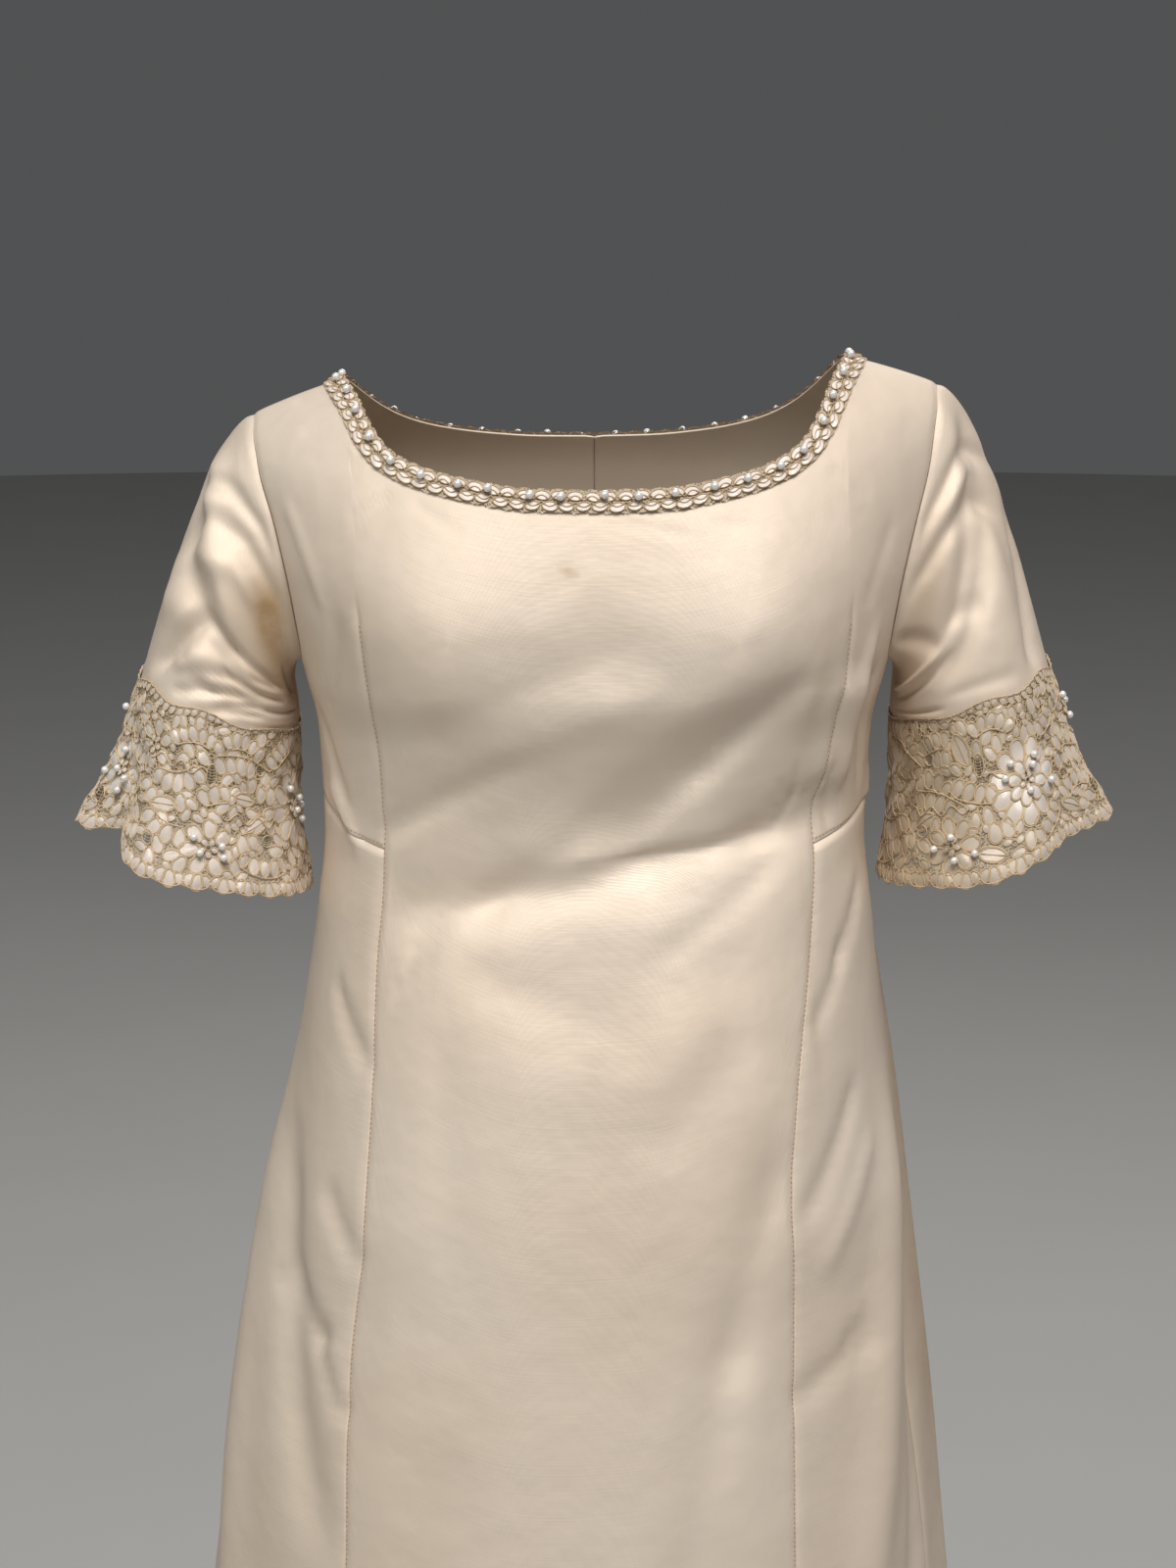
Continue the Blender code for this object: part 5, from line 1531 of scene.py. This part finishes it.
def lace_form(side, flutes, folds):
    """The flounce's form, taken in to the satin where its top edge lies over it."""
    cuff, sleeve = cuff_form(side, flutes), sleeve_form(side, folds)

    def surface(turn, down):
        over = np.clip(-np.asarray(down) * CUFF_LENGTH / 0.004, 0, 1)[..., None]
        on_satin = sleeve(turn, 1 + np.minimum(down, 0) * CUFF_LENGTH / SLEEVE_FALL)
        return cuff(turn, down) * (1 - over) + on_satin * over
    return surface


def lace_lift(along, below):
    """The lace's height: close on the satin at its top edge, and rippled below it."""
    loose = np.clip((below + 0.002) / 0.012, 0, 1)
    ripple = (np.sin(along / 0.0047 + 1.7 * np.sin(below / 0.011))
              * np.sin(below / 0.0052 + along / 0.031))
    return LACE_LIFT - 0.0010 * (1 - loose) + LACE_RIPPLE * ripple * loose


# Age everywhere, more of it towards the body, where it is painted shade as well, the degrees where
# most, and how far round.
CUFF_WEAR_AND_SHADE = {1: (0.42, 0.55, 158.0, 52.0), -1: (0.28, 0.40, 182.0, 20.0)}
WHITE_REACH = 0.0115      # flowers larger than this have stayed white


def cuff_age_and_shade(side, flowers):
    """How beige the lace is: plainer and darker towards the body, partly as painted shade, white
    at the large flowers.
    """
    base, rise, inner, spread = CUFF_WEAR_AND_SHADE[side]

    def age(along, below):
        around = along / CUFF_ROUND * 360
        worn_and_shaded = base + ridge(around - inner, rise, spread)
        for f in flowers:
            if f.reach > WHITE_REACH:
                away = np.hypot(along - along_of(f.around), below - f.down * CUFF_LENGTH)
                worn_and_shaded = worn_and_shaded * (1 - 0.9 * np.exp(-(away / (f.reach + 0.006)) ** 4))
        return np.clip(worn_and_shaded, 0, 1)
    return age


def bend(bm, place, surface, steps, lift, age, mirrored=False):
    """Bend flat lace onto a surface; lift and the other rule give its height and how aged it is,
    with painted shade on a cuff.
    """
    flat = np.array([vert.co for vert in bm.verts])
    along, down = flat[:, 0], -flat[:, 1]
    points, _, _, normal = slopes_of(surface, *place(along, down), *steps)
    points = points + normal * (lift(along, down) + flat[:, 2])[:, None]
    layer = bm.verts.layers.float.new("age")
    for vert, point, aged_and_shaded in zip(bm.verts, points, age(along, down)):
        vert.co = point
        vert[layer] = aged_and_shaded
    if mirrored:
        bmesh.ops.reverse_faces(bm, faces=bm.faces[:])


print("the lace ripples by", LACE_RIPPLE * 1000, "mm")

# %% A cuff's gaps and edges
HEM_PETAL_RISE = 0.0036   # the petals' middles lie this far above the hem's edge
HEM_PETAL_FAN = 42        # degrees between them, for a full step to the side
TOP_BUD_DROP = 0.0026     # and the buds' middles this far below the top edge


def add_gap(lace, gap):
    """The rim of an open gap, and the thin threads that cross it."""
    x, y = along_of(gap.around), gap.down * CUFF_LENGTH
    lace.taken.append((x, y, 0.0, gap.width / 2 - 0.0002, gap.height / 2 - 0.0002))
    rim = [(x + gap.width * 0.52 * np.cos(t), y + gap.height * 0.52 * np.sin(t), 0.0004)
           for t in np.linspace(0, 2 * pi, 15)]
    tube(lace.cord, rim)
    for share in np.arange(-0.4, 0.41, 0.2 if gap.height < 0.011 else 0.13):
        half, bar = gap.width * np.sqrt(0.25 - share ** 2), y + gap.height * share
        tube(lace.cord, [(x - half, bar, 0.0), (x, bar + 0.0005, 0.0),
                         (x + half, bar - 0.0004, 0.0)], BAR_RADIUS)
    for share in (-0.25, 0.25):
        half, bar = gap.height * np.sqrt(0.25 - share ** 2), x + gap.width * share
        tube(lace.cord, [(bar, y - half, 0.0), (bar + 0.0004, y, 0.0), (bar, y + half, 0.0)],
             BAR_RADIUS)


def add_hem(lace, chance):
    """Three small petals in each scallop, spread like a fan, the middle one the largest."""
    for k in range(2 * SCALLOPS):
        for way in (-0.66, 0.0, 0.66):
            around = (k + 0.5 + way * 0.52) / (2 * SCALLOPS) * 360
            size = (0.62 if way else 0.70) * chance.uniform(0.92, 1.08)
            lace.add("petal", along_of(around), hem_edge(around) - HEM_PETAL_RISE,
                     180 - way * HEM_PETAL_FAN, size, 0.0, 0.92, chance.uniform(-0.1, 0.1))


def add_top(lace, chance):
    """A row of buds along the top."""
    for k in range(TOP_BUDS):
        around = 360 * (k + chance.uniform(-0.15, 0.15)) / TOP_BUDS
        lace.add("bud", along_of(around), top_edge(around) + TOP_BUD_DROP,
                 chance.uniform(-14, 14), 0.98)


def add_edge_cords(lace):
    """A cord along the top, drawn in between the buds, and one along the scallops."""
    edge = np.linspace(0, 360, 241)
    lift = 0.0005 + 0.0003 * np.sin(edge * 0.9)
    wiggle = 0.0006 * np.abs(np.sin(np.radians(edge) * TOP_BUDS / 2))
    tube(lace.cord, list(zip(along_of(edge), top_edge(edge) - wiggle, lift)))
    edge = np.linspace(0, 360, 2 * SCALLOPS * 8 + 1)
    tube(lace.cord, list(zip(along_of(edge), hem_edge(edge), np.full(len(edge), 0.0003))))


print(TOP_BUDS, "buds along the top of a cuff")

# %% A flat cuff
VINES = 7
VINE_PITCH = 0.0505       # round the cuff, from one vine's start to the next
GARLAND_GAP = 0.0030      # between two garlands of a row


def add_garlands(lace, chance):
    """Garlands in rows round the cuff, each where there is room."""
    placed = 0
    for level in GARLAND_LEVELS:
        x = chance.uniform(0, 0.02)
        span = level.count * GARLAND_PITCH * level.size
        while x < CUFF_ROUND - 0.020:
            heading = chance.uniform(-26, 26)
            y = level.down * CUFF_LENGTH - span / 2 * np.sin(np.radians(heading))
            bow = chance.uniform(30, 95) * chance.choice([-1, 1])
            placed += add_garland(lace, x, y, heading, bow, level.facing, level.count,
                                  level.size, chance)
            x += span + GARLAND_GAP
    return placed


def flat_cuff(side, flowers, leaves, seed):
    """All the shapes of one cuff, laid flat."""
    lace = FlatLace(CUFF_ROUND, doubled=True)
    for gap in FRONT_GAPS + BACK_GAPS:
        add_gap(lace, gap)
    for f in flowers:
        add_flower(lace, along_of(f.around), f.down * CUFF_LENGTH, f.petals, f.reach, f.size,
                   f.start)
    for l in leaves:
        add_leaf(lace, along_of(l.around), l.down * CUFF_LENGTH, l.turn, l.size)
    chance = np.random.default_rng(seed)
    add_hem(lace, chance)
    add_top(lace, chance)
    add_edge_cords(lace)
    placed = add_garlands(lace, chance)
    for k in range(VINES):
        add_vine(lace, 0.006 + k * VINE_PITCH, chance.uniform(0.25, 0.70) * CUFF_LENGTH, 0.040,
                 3, 0.0024, chance.uniform(-0.012, 0.012))

    def inside(chance):
        around = chance.uniform(0, 360)
        low, high = top_edge(around) + 0.004, hem_edge(around) - 0.004
        return along_of(around), chance.uniform(low, high)

    counts = fill_up(lace, seed + 1, inside, FILL_TRIES)
    print("cuff", side, "shapes:", len(lace.taken), "in garlands:", placed, "filled in:", counts)
    return lace


print("the flounce is", round(CUFF_LENGTH * 1000, 1), "mm deep")

# %% The cuffs' net, with its open gaps
NET_LINES, NET_ROWS = 169, 41
CUFF_SEEDS = (11, 23)     # of the right and the left cuff's layouts


def cuff_net(side, surface, flowers, name, nodes):
    """The net of a flounce, with its gaps cut out and rounded."""
    lines = np.linspace(0, 360, NET_LINES)

    def place(around, share):
        top = top_edge(around)
        down = top + (hem_edge(around) - top) * share
        return turn_of(side, around), down / CUFF_LENGTH

    def relief(g):
        along, below = along_of(g.column), g.b * CUFF_LENGTH
        return lace_lift(along, below), {"age": cuff_age_and_shade(side, flowers)(along, below),
                                         "below": below}

    bm = lay_cloth(lines, np.linspace(0, 1, NET_ROWS), place, surface, SLEEVE_STEPS, relief)
    around_tag, below_tag = (bm.verts.layers.float[name] for name in ("column", "below"))
    for gap in FRONT_GAPS + BACK_GAPS:
        x, y = along_of(gap.around), gap.down * CUFF_LENGTH

        def reach(around, below):
            return ((along_of(around) - x) / (gap.width / 2), (below - y) / (gap.height / 2))

        for vert in cut_away(bm, lambda around, below: np.hypot(*reach(around, below)) < 1.0,
                             "column", "below"):
            dx, dy = reach(vert[around_tag], vert[below_tag])
            size = max(np.hypot(dx, dy), 0.01)
            around = (x + dx / size * gap.width / 2) / CUFF_ROUND * 360
            down = (y + dy / size * gap.height / 2) / CUFF_LENGTH
            point, _, _, out_way = slopes_of(surface, np.array([turn_of(side, around)]),
                                             np.array([down]), *SLEEVE_STEPS)
            high = lace_lift(along_of(around), down * CUFF_LENGTH)
            vert.co = (point + out_way * high)[0]
    bmesh.ops.remove_doubles(bm, verts=bm.verts[:], dist=0.00005)
    return piece_from(bm, name, (lace_net,), nodes)


cuff_nets = {}
cuff_pieces = {}
for word, hand, surface, flowers, leaves, seed in (
        ("right", -1, lace_form(-1, RIGHT_CUFF_FLUTES, RIGHT_SLEEVE_FOLDS), RIGHT_FLOWERS,
         RIGHT_LEAVES, CUFF_SEEDS[0]),
        ("left", 1, lace_form(1, LEFT_CUFF_FLUTES, LEFT_SLEEVE_FOLDS), LEFT_FLOWERS,
         LEFT_LEAVES, CUFF_SEEDS[1])):
    nodes = (f"cuff_lace_{word}_front", f"cuff_lace_{word}_back")
    cuff_nets[word] = cuff_net(hand, surface, flowers, "lace_cuff_net_" + word, nodes)
    lace = flat_cuff(hand, flowers, leaves, seed)
    for bm in (lace.fill, lace.cord):
        bend(bm, cuff_places(hand), surface, SLEEVE_STEPS,
             lambda along, below: lace_lift(along, below) + ON_NET, cuff_age_and_shade(hand, flowers),
             mirrored=hand == 1)
    cuff_pieces[word] = [
        piece_from(lace.fill, "lace_cuff_petals_" + word, (petal_fill,)),
        piece_from(lace.cord, "lace_cuff_cords_" + word, (lace_cord,)),
    ]

# %% [markdown]
# ## The braid round the neckline
# The same lace is sold by the metre as a narrow braid: two staggered rows of oval petals,
# each with a cord round it. It is laid flat along the measured length of the neckline and
# bent onto the panels, so that front and back meet at the shoulders.

# %% Neck braid
BRAID_PITCH = 0.0084      # along the neckline, from one petal of a row to the next
BRAID_ROWS = (0.0022, 0.0078)  # across the braid, to the middles of its two rows
BRAID_CORDS = ((0.0048, -0.0026), (0.0052, 0.0028))  # each cord's line, and how far it swings
BRAID_LIFT = 0.0022       # the petals' height over the satin's middle
TAPE_DROP = 0.0004        # how far under them the tape lies
TAPE_AGE = 0.1


def neck_at(neck, facing, step, share=0.0):
    """A place on the neckline, or at a share of the way over to the braid's lower edge."""
    angle, drop, low_angle, low_drop = (neck[name](np.abs(step)) for name in Neck._fields[1:])
    return (facing + np.sign(step) * (angle + (low_angle - angle) * share),
            drop + (low_drop - drop) * share)


def neck_places(neck, facing):
    """From flat metres, along and across the braid, to the worn form; and its length."""
    steps = np.linspace(-CENTRE_HALF, CENTRE_HALF, 561)
    lengths = run_lengths(worn_form(*neck_at(neck, facing, steps)), 0)

    def place(along, across):
        step = np.interp(along, lengths, steps)
        near, far = (worn_form(*neck_at(neck, facing, step, share)) for share in (0.0, 1.0))
        share = across / np.maximum(np.linalg.norm(far - near, axis=-1), 0.006)
        angle, drop = neck_at(neck, facing, step, share)
        return angle, np.clip(drop, 0.0000012, None)
    return place, lengths[-1]


def flat_braid(length, seed):
    """Two staggered rows of oval petals, with small rings between them."""
    lace = FlatLace()
    chance = np.random.default_rng(seed)
    count = round(length / BRAID_PITCH)
    for k in range(count):
        for row, shift in ((0, 0.5), (1, 0.0)):
            x = (k + shift + chance.uniform(-0.06, 0.06)) * length / count
            if not 0.002 < x < length - 0.002:
                continue
            y = BRAID_ROWS[row] + chance.uniform(-0.0004, 0.0004)
            lace.add("oval", x, y, 90 + chance.uniform(-14, 14), 0.98 * chance.uniform(0.92, 1.05),
                     0.0, 0.86)
    for row, (height, reach) in enumerate(BRAID_CORDS):
        wave = np.linspace(0.001, length - 0.001, round(length / 0.0011))
        swing = np.abs(np.sin(pi * wave / length * count + row * pi / 2))
        tube(lace.cord, list(zip(wave, height + reach * swing, np.full(len(wave), 0.0005))),
             CORD_RADIUS * 0.9)
    return lace


def braid_tape(neck, facing, name, nodes):
    """The scalloped tape of net under the petals."""
    place, length = neck_places(neck, facing)
    count = round(length / BRAID_PITCH)

    def scalloped(column, row):
        along = column * length
        bulge = np.abs(np.sin(pi * column * count))
        return place(along, -0.0008 + row * (0.0110 + 0.0009 * bulge) - 0.0008 * bulge * (1 - row))

    def relief(g):
        return 0 * g.column, {"age": 0 * g.column + TAPE_AGE}

    bm = lay_cloth(np.linspace(0, 1, count * 6 + 1), np.linspace(0, 1, 6), scalloped, worn_form,
                   BODY_STEPS, relief, BRAID_LIFT - TAPE_DROP)
    return piece_from(bm, name, (lace_net,), nodes)


braid_tapes = {}
braid_pieces = {}
for word, neck, facing, seed in (("front", front_neck, 0.0, 5), ("back", back_neck, 180.0, 6)):
    braid_tapes[word] = braid_tape(neck, facing, "neck_tape_" + word, ("neck_braid_" + word,))
    place, length = neck_places(neck, facing)
    lace = flat_braid(length, seed)
    for bm, aged_and_shaded in ((lace.fill, 0.0), (lace.cord, 0.9)):
        bend(bm, place, worn_form, BODY_STEPS, lambda along, down: BRAID_LIFT,
             lambda along, down, aged_and_shaded=aged_and_shaded: np.full(len(along), aged_and_shaded))
    braid_pieces[word] = [
        piece_from(lace.fill, f"neck_braid_petals_{word}", (petal_fill,)),
        piece_from(lace.cord, f"neck_braid_cords_{word}", (lace_cord,)),
    ]
    print("neckline", word, round(length, 4), "m")

# %% [markdown]
# ## Pearls
# Pearl beads are sewn along the braid and in small groups on the flowers. Each is a small
# sphere, made once and copied, standing just on the lace.

# %% Beads
NECK_PEARL = 0.00225      # a bead's radius
CUFF_PEARL = 0.00205
NECK_PEARL_STEP = 0.0185
Bead = namedtuple("Bead", "around down")
RIGHT_BEADS = [Bead(*row) for row in (
    (8, 0.18), (26, 0.43), (12, 0.64), (24, 0.58), (32, 0.64), (28, 0.74), (156, 0.37),
    (168, 0.45), (174, 0.51), (162, 0.52), (172, 0.6), (92, 0.73), (96, 0.82), (107, 0.76),
    (108, 0.83),
)]
LEFT_BEADS = [Bead(*row) for row in (
    (12, 0.16), (8, 0.21), (12, 0.31), (64, 0.37), (79, 0.37), (66, 0.43), (84, 0.45), (54, 0.6),
    (70, 0.59), (116, 0.74), (126, 0.81), (104, 0.85), (114, 0.88),
)]
# The hidden side's flowers all have a group of five.
BEAD_GROUP = [(-5, -0.06), (4, -0.08), (6, 0.04), (-3, 0.07), (0, 0.0)]


def sew_beads(name, radius, points, normal, chance):
    """Copies of one bead, each standing on the lace and turned a little."""
    bm = bmesh.new()
    bmesh.ops.create_uvsphere(bm, u_segments=14, v_segments=9, radius=radius)
    mesh = mesh_from(bm, "bead")
    bm = bmesh.new()
    for point, out in zip(points, normal):
        lean = Vector(out).to_track_quat("Z", "Y").to_matrix().to_4x4()
        spin = Matrix.Rotation(chance.uniform(0, 2 * pi), 4, "Z")
        stamp_mesh(bm, mesh, Matrix.Translation(Vector(point)) @ lean @ spin)
    return piece_from(bm, name, (pearl,))


bead_pieces = {}
chance = np.random.default_rng(3)
for word, hand, flutes, flowers, beads in (
        ("right", -1, RIGHT_CUFF_FLUTES, RIGHT_FLOWERS, RIGHT_BEADS),
        ("left", 1, LEFT_CUFF_FLUTES, LEFT_FLOWERS, LEFT_BEADS)):
    spots = [(bead.around, bead.down) for bead in beads]
    for f in flowers:
        if f.around > 180:
            spots += [(f.around + a, f.down + d) for a, d in BEAD_GROUP]
    spots = np.array(spots, dtype=float)
    points, _, _, normal = slopes_of(cuff_form(hand, flutes), turn_of(hand, spots[:, 0]),
                                     spots[:, 1], *SLEEVE_STEPS)
    high = lace_lift(along_of(spots[:, 0]), spots[:, 1] * CUFF_LENGTH)
    points = points + normal * (high + 0.0006 + CUFF_PEARL)[:, None]
    bead_pieces[word] = sew_beads("pearls_cuff_" + word, CUFF_PEARL, points, normal, chance)
for word, neck, facing in (("front", front_neck, 0.0), ("back", back_neck, 180.0)):
    place, length = neck_places(neck, facing)
    count = round(length / NECK_PEARL_STEP)
    along = (np.arange(count) + 0.5 + chance.uniform(-0.12, 0.12, count)) * length / count
    a, b = place(along, 0.0030 + chance.uniform(-0.0010, 0.0010, count))
    points, _, _, normal = slopes_of(worn_form, a, b, *BODY_STEPS)
    points = points + normal * (BRAID_LIFT + 0.0003 + NECK_PEARL)
    bead_pieces["neck_" + word] = sew_beads("pearls_neck_" + word, NECK_PEARL, points, normal,
                                            chance)

# %% [markdown]
# ## Stitches
# The darts, the panel seams and the empire seams are topstitched. Each stitch is a small
# bead of thread, stretched along the seam and sunk halfway into the cloth.

# %% Thread
STITCH_PITCH = 0.0026
STITCH_LENGTH = 0.0019
STITCH_RADIUS = 0.00028
STITCH_RISE = 0.00012     # its middle lies this far over the cloth
DART_STITCH = (0.07, 0.0011)    # columns from the dart or panel seam, and metres
EMPIRE_STITCH = (0.14, 0.0031)  # rows above the empire seam, and metres

thread = new_finish("silk_thread", 30.0, (0.40, 0.27, 0.16), (0.56, 0.42, 0.29),
                    Roughness=0.5).material


def stitch_line(bm, mesh, a, b, away):
    """Stitches at an even pitch along a line of places on the cloth, away from its seam."""
    points, _, _, normal = slopes_of(worn_form, a, b, *BODY_STEPS)
    height = body_creases(a, b) + seam_relief(away) + SATIN_THICK / 2 + STITCH_RISE
    points = points + normal * height[:, None]
    run = run_lengths(points, 0)
    for spot in np.arange(STITCH_PITCH / 2, run[-1], STITCH_PITCH):
        k = int(np.clip(np.searchsorted(run, spot) - 1, 0, len(run) - 2))
        share = (spot - run[k]) / (run[k + 1] - run[k])
        point = points[k] + (points[k + 1] - points[k]) * share
        along = Vector(points[k + 1] - points[k]).normalized()
        out = Vector(normal[k])
        side = along.cross(out).normalized()
        turn = Matrix((side, along, side.cross(along))).transposed().to_4x4()
        stamp_mesh(bm, mesh, Matrix.Translation(Vector(point)) @ turn)


bm = bmesh.new()
bmesh.ops.create_icosphere(bm, subdivisions=1, radius=1.0)
bmesh.ops.scale(bm, vec=(STITCH_RADIUS, STITCH_LENGTH / 2, STITCH_RADIUS), verts=bm.verts[:])
one_stitch = mesh_from(bm, "stitch")
bm = bmesh.new()
for seam, inward in ((FRONT_SEAMS[0], 1), (FRONT_SEAMS[1], -1)):
    rows = np.concatenate([np.linspace(TIP_ROW + 0.4, EMPIRE_ROW, 60), skirt_rows(0.01)[1:]])
    a, b = front_place(np.full(len(rows), seam + inward * DART_STITCH[0]), rows)
    stitch_line(bm, one_stitch, a, b, DART_STITCH[1])
    lines = np.linspace(seam, seam - inward * SIDE_COLUMNS, 60)
    a, b = front_place(lines, np.full(len(lines), EMPIRE_ROW - EMPIRE_STITCH[0]))
    stitch_line(bm, one_stitch, a, b, EMPIRE_STITCH[1])
seam_stitches = piece_from(bm, "seam_stitches", (thread,))

# %% [markdown]
# ## What each sheet was cut from
# Every sheet of cloth is given the rectangle that its piece was cut from, and its area is worked
# out but not kept. The widths are at the widest place, all round on a tube, and the lengths run
# down the cloth.

declare(front, 0.62, 1.50, (seam_stitches,))
for word in ("right", "left"):
    declare(side_fronts[word], 0.30, 1.24)
    declare(back_bodices[word], 0.27, 0.27)
    declare(back_skirts[word], 0.62, 1.26)
    declare(sleeves[word], 0.42, 0.20)
    declare(cuff_nets[word], 0.44, 0.105,
            (*cuff_pieces[word], bead_pieces[word]))
for word in ("front", "back"):
    declare(braid_tapes[word], 0.48, 0.016,
            (*braid_pieces[word], bead_pieces["neck_" + word]))
declare(placket, 0.022, 0.66)

# %% [markdown]
# ## A plain studio
# Satin shows its folds in one soft light from above and in front, with a weak cool light
# from the left and another from behind. The floor is pale and plain, just under the hem.

# %% Floor, light and camera
FLOOR_HEIGHT = -1.432

bm = bmesh.new()
bmesh.ops.create_circle(bm, cap_ends=True, segments=96, radius=14.0)
bmesh.ops.translate(bm, vec=(0, 0, FLOOR_HEIGHT), verts=bm.verts[:])
floor = in_scene("floor", mesh_from(bm, "floor"))
floor.data.materials.append(new_finish("pale_floor", 3.0, (0.44, 0.44, 0.43),
                                       (0.41, 0.41, 0.40), detail=4.0, Roughness=0.85).material)
floor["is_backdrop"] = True

world = bpy.data.worlds.new("studio")
world.use_nodes = True
sky = world.node_tree.nodes["Background"]
plug(world.node_tree, sky, {"Color": (0.55, 0.56, 0.57, 1), "Strength": 0.15})
bpy.context.scene.world = world


def area_light(name, place, aim, size, power, colour):
    data = bpy.data.lights.new(name, "AREA")
    data.shape = "RECTANGLE"
    data.size, data.size_y = size
    data.energy = power
    data.color = colour
    lamp = in_scene(name, data)
    lamp.location = place
    lamp.rotation_euler = (Vector(aim) - Vector(place)).to_track_quat("-Z", "Y").to_euler()


area_light("key", (0.5, -3.6, 5.4), (0, 0, -0.4), (3.8, 2.8), 515, (1.0, 0.975, 0.945))
area_light("side", (-3.2, -2.4, 1.6), (0, 0, -0.4), (1.8, 1.8), 24, (0.92, 1.0, 0.97))
area_light("back", (0.6, 2.6, 1.8), (0, 0, -0.4), (2.2, 1.6), 30, (1.0, 0.98, 0.96))
bpy.context.scene.view_settings.view_transform = "Standard"

eye = bpy.data.cameras.new("camera")
eye.lens = 64.9125
eye.sensor_width = 36.0
eye.clip_start = 0.05
eye.clip_end = 60.0
camera = in_scene("camera", eye)
camera.location = (-0.0036, -1.512, 0.101)
camera.rotation_euler = (np.radians(78.0), 0.0, 0.0)
bpy.context.scene.camera = camera
print("camera set")

# %% The drawn box, and finish
drawn = [list(corner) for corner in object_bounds()]
({"cad": [[float(v) for v in corner] for corner in cad_box],
           "visual": [[float(v) for v in corner] for corner in drawn]})
print("visual box:", np.round(drawn, 3).tolist())
